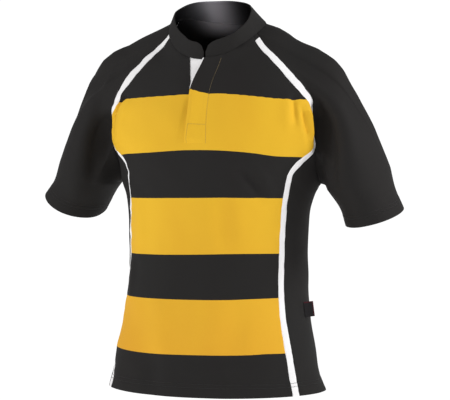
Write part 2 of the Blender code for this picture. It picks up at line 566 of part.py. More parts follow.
def body_grids():
    """The grid of every piece of the shell, and whether it closes round on itself."""
    grids, front_edge = {}, {}
    back_in, back_out = tape_lines("back")
    for side in ("left", "right"):
        front_edge[side], front_out = tape_lines(side)
        panel = side_panel(front_out, back_out)
        cuts = {"side_panel": panel, "tape_front": np.stack([body(*front_edge[side]), body(*front_out)], axis=1)}
        cuts["tape_back"] = np.stack([body(*back_out), body(*back_in)], axis=1)
        for name, points in cuts.items():
            grids[f"{name}_{side}"] = (points if side == "left" else flipped(points), False)
        # The sleeve's stations run from the body outwards, so its columns are turned to make it face out.
        arm = sleeve(*armhole(panel[-1], front_out, back_out), side)
        grids[f"sleeve_{side}"] = (arm[:, ::-1] if side == "left" else arm * [-1, 1, 1], True)
    grids["front"] = (body(*front_places(front_edge["left"], front_edge["right"])), False)
    back_angles = spaced(back_in[0], 2 * math.pi - back_in[0], BACK_COLUMNS)
    grids["back"] = (body(back_angles, back_in[1][:, None]), False)
    return grids


def folded(grids):
    """The grids with the shoulder dropped and the folds pressed into them, and their normals."""
    grids = {name: (dropped(points), closed) for name, (points, closed) in grids.items()}
    grids["collar"] = (collar(neck_line({name: points for name, (points, closed) in grids.items()})), False)
    normals = shared_normals(grids)
    moved = {}
    for name, (points, closed) in grids.items():
        moved[name] = (points + normals[name] * folds_at(points)[..., None], closed)
    return moved, shared_normals(moved)


def flap_points(front, normals):
    """The placket's flap: the front's own points where it lies on the front, and its own line where it is free."""
    rows = slice(PLACKET_ROW, NECK_ROW + 1)
    columns = slice(SIDE_COLUMNS, SIDE_COLUMNS + 6)
    base, out = front[rows, columns].copy(), normals[rows, columns].copy()
    placket = {name: column(RING_AT["front_z"](LEVELS[rows])) for name, column in PLACKET_AT.items()}
    for i in range(len(base)):
        places = base[i, :, 0].copy()
        free = placket["free_edge"][i]
        if free > places[1] - 0.002:
            wanted = np.array([free, free + 0.25 * (places[4] - free), *places[2:]])
            wanted[2:4] = free + np.array([0.5, 0.75]) * (places[4] - free)
            base[i] = np.stack([np.interp(wanted, places, base[i, :, axis]) for axis in range(3)], axis=-1)
            out[i] = unit(np.stack([np.interp(wanted, places, out[i, :, axis]) for axis in range(3)], axis=-1))
    fade = np.array([1.0, 0.85, 0.55, 0.2, 0.0, 0.0])
    lift = LAYER + placket["lift"][:, None] * fade
    return base + out * lift[..., None], out


def facing_points(front, normals):
    """The white under-placket, one layer inside the front, seen where the flap stands open."""
    rows = slice(PLACKET_ROW, NECK_ROW + 1)
    columns = slice(SIDE_COLUMNS, SIDE_COLUMNS + 6)
    return front[rows, columns] - normals[rows, columns] * (LAYER + SEAM_GAP), normals[rows, columns]


def neck_line(fields):
    """The last row of every piece at the collar seam, from the throat round the wearer's left, the back and the
    right. fields holds a grid of points, or of normals, for each piece."""
    shoulder = PANEL_COLUMNS // 2 + NECK_ROW - CORNER_ROW  # where the front seam meets the collar
    on_sleeve = slice(shoulder + 1, shoulder + NECK_COLUMNS)
    return np.concatenate(
        [
            fields["front"][-1, SIDE_COLUMNS + 3 :],
            fields["tape_front_left"][-1, 1:],
            fields["sleeve_left"][0, ::-1][on_sleeve],
            fields["tape_back_left"][-1, :1],
            fields["back"][-1],
            fields["tape_back_right"][-1, -1:],
            fields["sleeve_right"][0, on_sleeve][::-1],
            fields["tape_front_right"][-1, :1],
            fields["front"][-1, : SIDE_COLUMNS + 3],
        ]
    )


def label(material):
    """The woven label that stands out of the middle of the left side."""
    reach, thickness, height = LABEL_SIZE
    xs, ys, zs = (0, reach), (-thickness / 2, thickness / 2), (-height / 2, height / 2)
    corners = [(x, y, z) for x in xs for y in ys for z in zs]
    faces = [(0, 1, 3, 2), (4, 6, 7, 5), (0, 4, 5, 1), (2, 3, 7, 6), (0, 2, 6, 4), (1, 5, 7, 3)]
    mesh = bpy.data.meshes.new("side_label")
    mesh.from_pydata(corners, [], faces)
    mesh.materials.append(material)
    tab = bpy.data.objects.new("side_label", mesh)
    root = dropped(body(math.radians(LABEL_ANGLE), LABEL_HEIGHT))
    tab.location = root + [WALL / 2 + SEAM_GAP + thickness, 0, 0]
    tab.rotation_euler = (0, LABEL_TILT, LABEL_TURN)
    bpy.data.collections["rugby_shirt"].objects.link(tab)


def cloth_material(name, colour):
    material = bpy.data.materials.new(name)
    material.use_nodes = True
    shader = material.node_tree.nodes["Principled BSDF"]
    shader.inputs["Base Color"].default_value = (*colour, 1)
    shader.inputs["Roughness"].default_value = 0.75
    shader.inputs["Metallic"].default_value = 0.0
    material.diffuse_color = (*colour, 1)
    return material


def build():
    for old in list(bpy.data.objects):
        bpy.data.objects.remove(old)
    bpy.context.scene.collection.children.link(bpy.data.collections.new("rugby_shirt"))
    hooped, black, white = (
        cloth_material(*row) for row in (("hooped_cloth", GOLD), ("black_cloth", BLACK), ("white_cloth", WHITE))
    )
    grids, normals = folded(body_grids())

    front = grids["front"][0]
    kept = np.ones((front.shape[0] - 1, front.shape[1] - 1), bool)
    kept[CUT_ROW:, SIDE_COLUMNS + 1 : SIDE_COLUMNS + 4] = False
    cloth("front", draw_in(front, SEAM_GAP, last_row=True, sides=True), normals["front"], hooped, kept=kept)
    cloth("back", draw_in(grids["back"][0], SEAM_GAP, last_row=True, sides=True), normals["back"], hooped)
    for side in ("left", "right"):
        for name, material in (("side_panel", black), ("tape_front", white), ("tape_back", white)):
            key = f"{name}_{side}"
            cloth(key, draw_in(grids[key][0], SEAM_GAP, last_row=True, sides=True), normals[key], material)
        key = f"sleeve_{side}"
        cloth(key, draw_in(grids[key][0], SEAM_GAP, first_row=True, closed=True), normals[key], black, closed=True)

    flap, flap_normals = flap_points(front, normals["front"])
    cloth("placket_flap", draw_in(flap, 4 * SEAM_GAP, last_row=True), flap_normals, hooped)
    facing, facing_normals = facing_points(front, normals["front"])
    cloth("placket_facing", draw_in(facing, 4 * SEAM_GAP, last_row=True), facing_normals, white)

    band, band_normals = grids["collar"][0], normals["collar"]
    band = draw_in(band, 3 * SEAM_GAP, first_row=True)
    cloth("collar", band, band_normals, black, wall=COLLAR_WALL)
    label(cloth_material("woven_label", LABEL_BLACK))


build()
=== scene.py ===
"""The looks of a hooped rugby shirt: knitted cloth on the form of each cut piece, with its folds and sewing.

Metres, but millimetres in the tables, and +Z up. The chest faces -Y and the wearer's left is +X. A point of
the body has an angle, 0 at the centre front and 90 at the wearer's left side, and a level, the height of its
ring at the side. Each piece is one fine grid of points on that surface, with the folds pressed into it, and a
thin wall of cloth is made on the grid.
"""

import math
from collections import namedtuple
from types import SimpleNamespace

import bpy
import numpy as np
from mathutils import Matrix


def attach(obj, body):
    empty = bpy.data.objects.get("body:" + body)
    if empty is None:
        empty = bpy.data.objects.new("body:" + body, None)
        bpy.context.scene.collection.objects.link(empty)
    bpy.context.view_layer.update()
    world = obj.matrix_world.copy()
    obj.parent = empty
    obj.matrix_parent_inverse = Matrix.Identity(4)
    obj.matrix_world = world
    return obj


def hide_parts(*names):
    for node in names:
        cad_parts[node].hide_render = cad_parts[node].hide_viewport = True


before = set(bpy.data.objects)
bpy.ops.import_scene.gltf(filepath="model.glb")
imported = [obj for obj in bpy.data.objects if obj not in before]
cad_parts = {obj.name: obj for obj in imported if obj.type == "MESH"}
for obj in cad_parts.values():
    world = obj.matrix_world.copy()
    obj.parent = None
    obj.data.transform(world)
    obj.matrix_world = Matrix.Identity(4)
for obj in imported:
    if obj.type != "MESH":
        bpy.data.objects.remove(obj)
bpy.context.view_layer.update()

DETAIL = 6  # fine cells in each cell of the pieces' plan
SHARES = [k / DETAIL for k in range(DETAIL)]
SEAM_SHARES = [0.0, 0.03, 0.08, 0.17, 0.34, 0.62]  # of a cell that ends at a seam, closer together beside it
SHARES_TO_SEAM = [1, *SEAM_SHARES[:0:-1]]  # the same, counted back from the cell's other end
FAR = 1.0  # stands for a distance out of reach
STEP = 1e-4  # for slopes
SHARP = math.radians(60)  # from this angle on an edge isn't smoothed


def table(fields, rows, plain=""):
    """Rows of named values: lengths, given in millimetres and kept in metres, and the plain fields."""
    Row = namedtuple("Row", fields)
    scales = [1 if name in plain.split() else 1000 for name in Row._fields]
    return [Row(*(np.array(value) / scale for value, scale in zip(row, scales))) for row in rows]


# ---- the form of the pieces ----

KNIT = 0.0011  # thickness of one layer
HEM_KNIT = 0.0020  # where the hem is turned up
COLLAR_KNIT = 0.0026
LAYER = 0.0019  # from one layer's middle to the next at the placket

RINGS = table("side_z front_z back_z half_width middle_y front_y back_y square", plain="square", rows=[
    (-714, -720, -716, 220, -14, -142, 120, 2.10),  # hem
    (-690, -693, -691, 211, -17, -141, 119, 2.10),
    (-640, -640, -640, 201, -12, -137, 117, 2.10),
    (-580, -580, -580, 188, -7, -132, 113, 2.10),
    (-530, -530, -530, 182.8, -5, -126, 109, 2.15),
    (-470, -470, -470, 180.8, -5, -122, 105, 2.15),  # waist
    (-415, -415, -415, 180.6, -4, -121, 105, 2.15),
    (-360, -360, -360, 182, -2, -124, 107, 2.15),
    (-315, -315, -315, 187, -2, -128, 110, 2.15),  # armpit
    (-280, -280, -280, 198, -8, -129, 112, 2.15),
    (-243, -244, -243, 215.5, -18, -129, 114, 2.20),  # front corner of the armhole
    (-195, -205, -190, 217.5, -20, -127, 115, 2.20),  # chest
    (-145, -168, -133, 214.3, -22, -121, 112, 2.20),
    (-100, -135, -83, 191.8, -22, -112, 105, 2.10),
    (-60, -110, -43, 154, -18, -101, 94, 2.05),
    (-28, -93, -12, 115, -12, -93, 82, 2.00),
    (-7.5, -80, 3, 97.5, -10, -88, 70, 2.00),  # collar seam
])
# How far the wearer's left hangs down, and the right is raised, for each metre out, by height.
DROPS = table("z slope", plain="slope", rows=[
    (-720, -0.007), (-600, -0.004), (-480, 0.0), (-400, 0.004),
    (-260, 0.040), (-100, 0.040), (-30, 0.062), (0, 0.080),
])
ARM_DROP = 0.040  # on the sleeves, at any height
ARM_FADES_IN = (0.21, 0.24)  # in x
ARM_LOWEST = -0.45

# The tapes in the seams of the front and the back. The shirt hangs a little turned, so the two front tapes
# lie differently. The back tapes' angle is counted from the centre back.
TAPE_FIELDS = "level left_angle left_width right_angle right_width back_angle back_width"
TAPES = table(TAPE_FIELDS, plain="left_angle right_angle back_angle", rows=[
    (-714, 59.5, 13.5, 66.0, 13, 61.8, 13.5),
    (-690, 60.5, 13, 68.0, 13, 62.8, 13),
    (-670, 60.4, 13.2, 72.0, 13, 62.3, 13),
    (-640, 59.8, 13.5, 76.5, 13, 61.5, 13),
    (-580, 59.2, 12.5, 77.0, 12.5, 61.0, 12.5),
    (-530, 58.8, 12, 75.0, 12, 60.0, 12),
    (-500, 59.0, 11.7, 70.0, 11, 59.8, 11.7),
    (-470, 59.4, 11.3, 63.0, 9.5, 59.7, 11.3),
    (-440, 59.8, 11.1, 61.6, 8, 59.8, 11.1),
    (-400, 60.3, 11.8, 61.8, 6.5, 60.0, 11),
    (-345, 61.5, 11.2, 60.0, 6, 60.0, 10.5),
    (-310, 62.7, 11, 57.8, 6, 60.0, 10.5),
    (-290, 63.6, 11.2, 56.2, 6.5, 60.5, 10.5),
    (-272, 68.4, 14, 60.4, 8.5, 62.0, 10.5),
    (-257, 73.7, 14, 73.4, 8.5, 66.0, 10),
    (-242, 79.3, 12, 79.0, 10, 69.0, 9.5),
    (-220, 81.5, 10.5, 81.5, 10.5, 70.0, 10),
    (-195, 80.5, 11.5, 74.5, 9, 69.5, 11.5),
    (-165, 76.8, 13, 63.5, 11.5, 67.4, 13),
    (-145, 72.7, 15, 59.0, 16.5, 66.0, 14),
    (-100, 65.8, 16.2, 56.2, 20, 62.0, 14.5),
    (-60, 65.0, 15, 58.4, 18.5, 61.0, 14),
    (-28, 67.3, 13.5, 62.6, 12.5, 65.0, 13),
    (-7.5, 68.5, 12, 63.0, 12, 68.0, 12),
])

# The plan's rows. From the hem's edge up to the end of the first row they are set by the hem instead.
SKIRT_LEVELS = np.linspace(-0.714, -0.320, 12)
TURN_LEVELS = [-0.300, -0.285, -0.270, -0.2555]
CORNER_LEVEL = -0.243
YOKE_LEVELS = [-0.228, -0.207, -0.186, *np.linspace(-0.165, -0.045, 7), -0.026, -0.0075]
HEM_LINES = (0.0170, 0.0230)  # the two lines of stitches, from the edge
HEM_ROWS = [0, 0.0003, 0.0009, 0.0018, 0.004, 0.009, 0.0145, 0.016, 0.0167, 0.017, 0.0173, 0.018, 0.0195]
HEM_ROWS += [0.0215, 0.0225, 0.0230, 0.0235, 0.0250, 0.0265, 0.0300]

ARMHOLE_DIP = 0.064  # the armhole's floor hangs below its corners and turns outwards
ARMHOLE_TURN_OUT = 0.020
DIP_STARTS = -0.470

TAPE_TURNS = (0.0358, 0.021)  # within this of the hem and of the collar a tape turns in line with the edge

# The placket, in x at the centre front, by height: the slit's two sides, the flap's two sides, and how far
# the free side stands off.
PLACKET = table("z left_cut free_edge right_cut stitched_edge lift", rows=[
    (-260, -5, -16.5, 22.5, 31.2, 0),
    (-235, -5, -16, 22.5, 31.2, 2),
    (-205, -5, -11.5, 22.5, 30.7, 5),
    (-165, -6.2, -9.4, 24.5, 31.2, 6),
    (-143, -9, -8.8, 26.5, 32.2, 6),
    (-122, -14, -4.5, 29.5, 35, 5),
    (-80, -24.3, 8.5, 39, 45, 4.5),
])
FLAP_COVER = 0.005  # how far the flap reaches past the slit, at least
COLLAR_ENDS = (0.0060, 0.0095)  # in x, where the two ends of the collar stand
SIDE_COLUMNS = 8
BACK_COLUMNS = 14
PANEL_COLUMNS = 6
NECK_COLUMNS = 4
TAPE_SHARES = np.array([0, 0.05, 0.12, 0.22, 0.5, 0.78, 0.88, 0.95, 1])

# The collar's top edge, by the angle round it.
COLLAR_TOP = table("angle x y z", plain="angle", rows=[
    (-180, -32.1, 40, 46.6),
    (-150, -65.2, 36, 46),
    (-120, -82.1, 15, 36.4),
    (-90, -82, -28, 16.5),
    (-60, -64, -58, -14),
    (-30, -29.2, -80, -38.3),
    (0, 11.8, -91, -47.4),
    (30, 49.7, -88, -38.8),
    (45, 67.3, -76, -28.3),
    (60, 79.3, -55, -8.5),
    (75, 79.1, -34, 11),
    (90, 70.7, -12, 22.6),
    (105, 60.6, 8, 30.9),
    (120, 45.3, 24, 37.4),
    (150, 5.4, 38, 44.9),
])
COLLAR_ROWS = [0, 0.006, 0.02, 0.045, 0.08, *np.linspace(0.12, 0.94, 16), 0.97, 0.988, 0.996, 1]
COLLAR_END_SHARE = 0.42  # of its height, kept at its very ends
COLLAR_CORNER = 0.024  # how far its rounded corners run along it
COLLAR_LEAN = 0.004  # outwards at its ends, for each metre up

SLEEVE_FIELDS = "x y z across rise deep drop twist"
SLEEVE_RINGS = {
    "left": table(SLEEVE_FIELDS, plain="rise drop twist", rows=[
        (283.5, 8, -297, 59, 0.376, 80, 0.14, 8.0),
        (301.5, 8, -333, 52, 0.345, 76, 0.15, 14.0),
        (316.5, 6, -368, 53.5, 0.335, 73, 0.15, 20.0),
    ]),
    "right": table(SLEEVE_FIELDS, plain="rise drop twist", rows=[
        (283, 8, -297, 58.5, 0.430, 79, 0.14, 8.0),
        (298.5, 8, -330, 49.5, 0.540, 75, 0.15, 14.0),
        (318, 6, -360.8, 49.9, 0.660, 73, 0.15, 20.0),
    ]),
}
SLEEVE_AXIS = np.array([0.36, 0.02, -0.93])  # the way they hang
SPREAD = {"shoulder": 0.04, "chest": 5.0}  # how strongly a strand sets off square to the seam
SHOULDER_FACES = np.array([0.33, 0.00, 0.94])
LEAVE_REACH = 0.36  # of the way from the armhole to the sleeve's first ring
FULLNESS = {"left": 0.08, "right": 0.30}  # what the shoulder adds to it
ARRIVE_REACH = (0.32, 0.22)  # the same at the ring: under the arm, and what the shoulder adds
CAP_STATIONS = 10
ARM_STATIONS = 14

# The folds. Each runs through three points. depth is its height off the cloth, negative for a trough, and
# width its reach to either side.
FOLDS = table("start middle end width depth", rows=[
    # the seams of the two sleeves sink beside the chest, which fills out in front of them
    ((213, -46, -172), (217, -41, -212), (217.5, -42, -253), 12, -21),
    ((-212, -50, -190), (-215, -43, -215), (-216.5, -42, -240), 11, -9),
    ((197, -68, -165), (205, -60, -208), (206, -59, -252), 18, 10),
    ((205, -60, -180), (212, -50, -220), (210, -52, -258), 34, 5),
    # the shoulders, the wearer's left upper arm and the right hip
    ((105, 10, -12), (130, 8, -22), (164, 6, -36), 28, 4.8),
    ((178, 3, -44), (222, 2, -67), (262, 0, -96), 30, 7.2),
    ((-205, -10, -45), (-235, -10, -62), (-262, -8, -85), 28, 7),
    ((268, 0, -110), (287, 0, -145), (304, 0, -190), 30, -4.5),
    ((-185, -40, -510), (-196, -40, -590), (-214, -50, -700), 40, 6),
    # the wearer's right chest
    ((-160, -90, -148), (-186, -78, -172), (-199, -66, -226), 5.5, -16),
    ((-150, -97, -160), (-166, -89, -188), (-178, -82, -232), 14, 5),
    # the wearer's left chest
    ((187, -80, -154), (187, -80, -178), (189, -79, -206), 7, -7),
    ((198.5, -71, -172), (202.5, -67, -205), (208, -60, -244), 6.5, -13.5),
    ((176, -88, -158), (175, -89, -190), (176, -89, -222), 11, 4),
    # the waist, and beside the placket
    ((90, -115, -290), (112, -105, -318), (130, -95, -350), 11, -6),
    ((106, -110, -276), (127, -98, -302), (146, -85, -332), 10, 4),
    ((56, -123, -330), (60, -121, -390), (66, -120, -455), 20, -5),
    ((111, -117, -345), (132, -110, -400), (152, -100, -450), 9, 4),
    ((-128, -92, -340), (-126, -90, -395), (-130, -88, -450), 18, 5),
    ((89, -124, -530), (86, -128, -585), (80, -131, -640), 24, -5),
    ((-60, -128, -520), (-68, -130, -580), (-74, -132, -640), 24, 4),
    ((-150, -80, -455), (-152, -78, -498), (-155, -75, -540), 12, 4),
    ((-12, -120, -160), (-16.5, -122, -198), (-22, -125, -232), 5.5, -6.5),
    # the hem
    ((170, -70, -650), (176, -66, -690), (180, -62, -722), 14, 5),
    ((-80, -130, -640), (-85, -133, -680), (-88, -134, -725), 22, -5),
    ((60, -134, -640), (62, -136, -680), (64, -138, -725), 24, 4),
    # the sleeves
    ((-360, -16, -308), (-373.5, -19, -334), (-390, -21, -372), 17, -6.5),
    ((225, -40, -170), (246, -50, -250), (262, -62, -330), 14, -6),
    ((222, -20, -245), (230, -40, -265), (240, -55, -280), 10, 4),
    ((262, -50, -150), (280, -56, -230), (300, -60, -330), 18, 5),
    ((-225, -40, -150), (-242, -50, -240), (-252, -62, -330), 14, -7),
    ((-250, -55, -160), (-272, -58, -250), (-290, -60, -340), 16, 5),
    ((-215, -42, -75), (-222, -45, -100), (-226, -48, -130), 8, 4),
    ((230, 60, -170), (250, 78, -245), (265, 95, -320), 14, -6),
    ((262, 60, -150), (282, 70, -235), (300, 80, -320), 16, 5),
    ((-232, 60, -170), (-250, 78, -245), (-262, 95, -320), 14, -6),
    ((-262, 60, -140), (-280, 70, -230), (-296, 80, -330), 16, 5),
    # the back
    ((60, 110, -190), (95, 108, -250), (120, 105, -330), 18, -6),
    ((30, 112, -180), (60, 110, -260), (90, 108, -350), 18, 4),
    ((-60, 110, -190), (-100, 105, -240), (-130, 100, -310), 18, -6),
    ((40, 112, -410), (85, 100, -440), (130, 85, -470), 14, 5),
    ((20, 112, -450), (70, 104, -478), (120, 88, -502), 13, -5),
    ((-30, 112, -440), (-75, 100, -472), (-125, 86, -500), 14, -5),
    ((-60, 118, -620), (-66, 119, -670), (-70, 119, -720), 22, 5),
    ((70, 118, -630), (76, 119, -675), (80, 119, -720), 20, -5),
])
TAPER = 0.4  # of half a fold's run, over which it keeps its full depth
FOLD_STEPS = 8  # straight steps in its line

SWELL = {"reach": 0.16, "height": 0.0009}  # broad unevenness of the hanging cloth
DIMPLE = {"reach": 0.055, "height": 0.0003}
RIPPLES = 12  # waves in each
RIPPLE_SIZES = (0.7, 1.6)  # how long they are, from and to, for a reach of 1
PUCKER = {"reach": 0.017, "height": 0.0005, "fade": 0.006}  # beside the seams
SEAM_SINK = 0.0007  # the seams lie a little below the cloth beside them
SEAM_REACH = 0.0013
STITCH_SINK = 0.0004
STITCH_REACH = 0.0008
HEM_TURNED = HEM_LINES[1] + 0.0018  # where the turned-up layer ends
HEM_STEP = 0.0005

# ---- the hoops: heights of the lines between the colours, by x ----

HOOPS = table("x yoke chest upper_waist waist lower_waist hip", rows=[
    (-190, -157.2, -262, -344, -450, -534.5, -637.3),
    (-165, -154.2, -260, -344, -452, -536, -638.3),
    (-90, -151.6, -258, -345, -453.7, -537.3, -640.5),
    (-10, -149.4, -255, -345, -452.5, -537.3, -639),
    (65, -150.2, -257, -345, -450.6, -536.3, -637.8),
    (118, -156, -262, -345.5, -450, -534.1, -636.6),
    (152, -160, -267, -345.5, -450, -532.7, -635.6),
    (190, -162.5, -268, -345, -450, -530.7, -634.6),
])
FLAP_HOOP_RISE = 0.0078  # how much higher the hoops are at the flap's free side

HOOP_FADE = 0.3  # beyond the first line and the last

# How much of a tape's upper end the collar's seam binding covers.
BINDING_COVERS = {"tape_front_left": 0.011, "others": 0.0012}

# The lining's painted sheen at the neck, inside, a painted highlight: its middle and reach in x, and the
# heights between which it fades in out of painted shade.
PAINTED_SHEEN_MIDDLE = -0.033
PAINTED_SHEEN_REACH = (0.0255, 0.0345)  # towards the wearer's right and left
PAINTED_SHEEN_FADES = (-0.026, 0.016)

# ---- colours (linear) ----

BLACK = (0.0150, 0.0143, 0.0138)
GOLD = (0.760, 0.460, 0.025)
# gold in painted shade, darker and more orange, which the lower hoops take on
GOLD_IN_PAINTED_SHADE = (0.740, 0.388, 0.026)
GOLD_SHADE_FADES = (0.25, -0.375)  # the painted shade of the gold towards the hip, by the number of the hoop: its share for each, and at 0
WHITE = (0.860, 0.860, 0.865)
# the lining's painted sheen: a painted highlight, grey-blue, on the inside of the neck
PAINTED_SHEEN = (0.580, 0.585, 0.640)
# the lining's black, darker than the cloth's: partly painted shade inside the neck
LINING_BLACK_AND_SHADE = (0.0020, 0.0020, 0.0022)
BLACK_THREAD = (0.016, 0.015, 0.015)
OLIVE_THREAD = (0.240, 0.180, 0.075)
LABEL_RED = (0.055, 0.006, 0.011)
LABEL_BLACK = (0.012, 0.011, 0.012)


def ramp(values, start, end):
    """0 up to start, 1 from end on, and even in between."""
    return np.clip((values - start) / (end - start), 0, 1)


def eased(share):
    return share**2 * (3 - 2 * share)


def rounded(distance, radius, least=0.04):
    """The share of its thickness that a round edge leaves, by the distance from it."""
    return np.sqrt(np.clip(1 - (1 - np.clip(distance / radius, 0, 1)) ** 2, least, 1))


def unit(vectors):
    return vectors / np.maximum(np.linalg.norm(vectors, axis=-1, keepdims=True), 1e-12)


def smoothed(vectors, times):
    """Unit vectors round a closed line, evened out with their neighbours."""
    for _ in range(times):
        vectors = unit(np.roll(vectors, 1, axis=0) + 2 * vectors + np.roll(vectors, -1, axis=0))
    return vectors


def spread(start, end, shares):
    """Values from start to end at the shares, by row."""
    return start[:, None] + (end - start)[:, None] * shares


def walked_along(points, axis):
    """The distance along each row (axis 1) or column (axis 0) from its start."""
    steps = np.linalg.norm(np.diff(points, axis=axis), axis=-1)
    start = np.zeros_like(np.take(steps, [0], axis=axis))
    return np.concatenate([start, np.cumsum(steps, axis=axis)], axis=axis)


def sampled(where, knots, values):
    """The rows of values, one a knot, read at places between the knots."""
    return np.stack([np.interp(where, knots, column) for column in values.T], axis=-1)


def curve_through(knots, values):
    """A smooth function through the values, with slopes taken from the neighbours."""
    knots, values = np.asarray(knots, float), np.asarray(values, float)
    slopes = np.gradient(values, knots)

    def at(where):
        where = np.clip(where, knots[0], knots[-1])
        i = np.clip(np.searchsorted(knots, where, side="right") - 1, 0, len(knots) - 2)
        step = knots[i + 1] - knots[i]
        t = (where - knots[i]) / step
        start = (1 + 2 * t) * (1 - t) ** 2 * values[i] + t * (1 - t) ** 2 * step * slopes[i]
        return start + t**2 * (3 - 2 * t) * values[i + 1] - t**2 * (1 - t) * step * slopes[i + 1]

    return at


def columns_of(rows, knot=None):
    """A smooth function for each column of a table, by the one named knot or by the row's place, 0 to 1."""
    knots = np.linspace(0, 1, len(rows)) if knot is None else [getattr(row, knot) for row in rows]
    return {name: curve_through(knots, values) for name, values in zip(rows[0]._fields, zip(*rows))}


def row_at(columns, where):
    return SimpleNamespace(**{name: column(where) for name, column in columns.items()})


RING_AT = columns_of(RINGS, "side_z")
TAPE_AT = columns_of(TAPES, "level")
PLACKET_AT = columns_of(PLACKET, "z")
DROP_AT = columns_of(DROPS, "z")["slope"]
HOOPS_AT = columns_of(HOOPS, "x")


def fine_levels():
    """The rows of the plan cut finer, closest at the hem and beside the collar seam."""
    plan = [*SKIRT_LEVELS, *TURN_LEVELS, CORNER_LEVEL, *YOKE_LEVELS]
    levels = [plan[0] + rise for rise in HEM_ROWS]
    for low, high in zip(plan[1:-2], plan[2:-1]):
        levels += [low + (high - low) * share for share in SHARES]
    # the last cell turns its close rows towards the seam
    levels += [plan[-1] - (plan[-1] - plan[-2]) * share for share in SHARES_TO_SEAM]
    return np.array([*levels, plan[-1]])


LEVELS = fine_levels()


def row_of(level):
    return int(np.argmin(np.abs(LEVELS - level)))


CORNER_ROW = row_of(CORNER_LEVEL)
CUT_ROW = row_of(YOKE_LEVELS[0])
BELOW, ABOVE = slice(CORNER_ROW + 1), slice(CORNER_ROW, None)  # the armhole's corner
HALF_PANEL = PANEL_COLUMNS * DETAIL // 2


def body(angle, level):
    """Points of the body's surface. The angle is in radians."""
    angle, level = np.broadcast_arrays(np.asarray(angle, float), np.asarray(level, float))
    ring = row_at(RING_AT, level)
    sine, cosine = np.sin(angle), np.cos(angle)
    power = 2 / ring.square
    reach = np.where(cosine > 0, ring.front_y, ring.back_y) - ring.middle_y
    x = ring.half_width * np.sign(sine) * np.abs(sine) ** power
    y = ring.middle_y + reach * np.abs(cosine) ** power
    # a sloping ring stays even round the side, whatever its heights at the front and the back
    wave = ((ring.front_z + ring.back_z) / 2 - ring.side_z) / 2
    z = ring.side_z + wave + (ring.front_z - ring.back_z) / 2 * cosine + wave * np.cos(2 * angle)
    return np.stack([x, y, z], axis=-1)


def dropped(points):
    """The same points with the wearer's left shoulder lower and the right one higher."""
    x, z = points[..., 0], points[..., 2]
    on_arm = ramp(np.abs(x), *ARM_FADES_IN) * (z > ARM_LOWEST)
    slope = DROP_AT(z)
    slope += (ARM_DROP - slope) * on_arm
    return points - (x * slope)[..., None] * [0, 0, 1]


def angle_of_x(x, level):
    """The angle at which the front of the ring at a level has this x."""
    share = np.abs(x) / RING_AT["half_width"](level)
    return np.sign(x) * np.arcsin(share ** (RING_AT["square"](level) / 2))


def body_slopes(angle, level):
    """How a point of the body moves with its angle and with its level."""
    by_angle = (body(angle + STEP, level) - body(angle - STEP, level)) / (2 * STEP)
    by_level = (body(angle, level + STEP) - body(angle, level - STEP)) / (2 * STEP)
    return by_angle, by_level


def tape_lines(tape):
    """The two long edges of a tape, as (angle, level) pairs by row: first the one on the front or the back,
    then the other. tape is "left" or "right" for a front one, or "back". All lie on the wearer's left."""
    turned = -1 if tape == "back" else 1

    def centre(level):
        angle = np.radians(TAPE_AT[tape + "_angle"](level))
        return math.pi - angle if tape == "back" else angle

    angle = centre(LEVELS)
    along = body(centre(LEVELS + STEP), LEVELS + STEP) - body(centre(LEVELS - STEP), LEVELS - STEP)
    by_angle, by_level = body_slopes(angle, LEVELS)
    across = unit(np.cross(along, np.cross(by_angle, by_level))) * turned
    # At the hem and the collar seam the tape is cut along the ring.
    turn = 1 - np.minimum((LEVELS - LEVELS[0]) / TAPE_TURNS[0], (LEVELS[-1] - LEVELS) / TAPE_TURNS[1])
    turn = np.clip(turn, 0, 1)[:, None]
    across = unit(across * (1 - turn) + unit(by_angle) * turned * turn)
    slopes = np.stack([by_angle, by_level], axis=2)
    edges = []
    for reach in (-0.5, 0.5):
        shift = across * (reach * TAPE_AT[tape + "_width"](LEVELS))[:, None]
        moved = np.array([np.linalg.lstsq(*pair, rcond=None)[0] for pair in zip(slopes, shift)])
        edges.append((angle + moved[:, 0], LEVELS + moved[:, 1]))
    return edges


def cell_shares(count, seam_first=True, seam_last=True):
    """The fine columns of a run of plan cells, as shares of the run, closer together where a seam ends it."""
    cells = [SHARES] * count
    if seam_first:
        cells[0] = SEAM_SHARES
    if seam_last:
        cells[-1] = [1 - share for share in SHARES_TO_SEAM]
    return np.array([*((k + share) / count for k, cell in enumerate(cells) for share in cell), 1.0])


def front_places(left_edge, right_edge):
    """The angle and the level of every point of the front, between the tapes' edges."""
    level = (left_edge[1] + right_edge[1]) / 2
    placket = row_at(PLACKET_AT, RING_AT["front_z"](level))
    left, slit = placket.left_cut, placket.right_cut - placket.left_cut
    ends = [left + (end - left[-1]) / slit[-1] * slit for end in COLLAR_ENDS]
    hidden = np.minimum(placket.free_edge, left - FLAP_COVER)
    middle = [hidden, left, *ends, placket.right_cut, placket.stitched_edge]
    middle = [(angle_of_x(x, level), level) for x in middle]
    lines = [(-right_edge[0], right_edge[1]), *middle, left_edge]
    runs = [cell_shares(SIDE_COLUMNS, seam_last=False)[:-1], *[np.array(SHARES)] * 5]
    runs.append(cell_shares(SIDE_COLUMNS, seam_first=False))
    cells = list(zip(lines, lines[1:], runs))
    return [np.concatenate([spread(a[k], b[k], run) for a, b, run in cells], axis=1) for k in (0, 1)]


def side_panel(front_edge, back_edge):
    """A side panel, whose top hangs down and turns outwards as the floor of the armhole."""
    share = cell_shares(PANEL_COLUMNS)
    angle, level = (spread(front[BELOW], back[BELOW], share) for front, back in zip(front_edge, back_edge))
    rise = ramp(LEVELS[BELOW], DIP_STARTS, CORNER_LEVEL)[:, None]
    hang = 1 - (2 * share - 1) ** 2
    points = body(angle, level - ARMHOLE_DIP * rise**2 * hang)
    points[..., 0] += ARMHOLE_TURN_OUT * rise**2.5 * hang
    return points


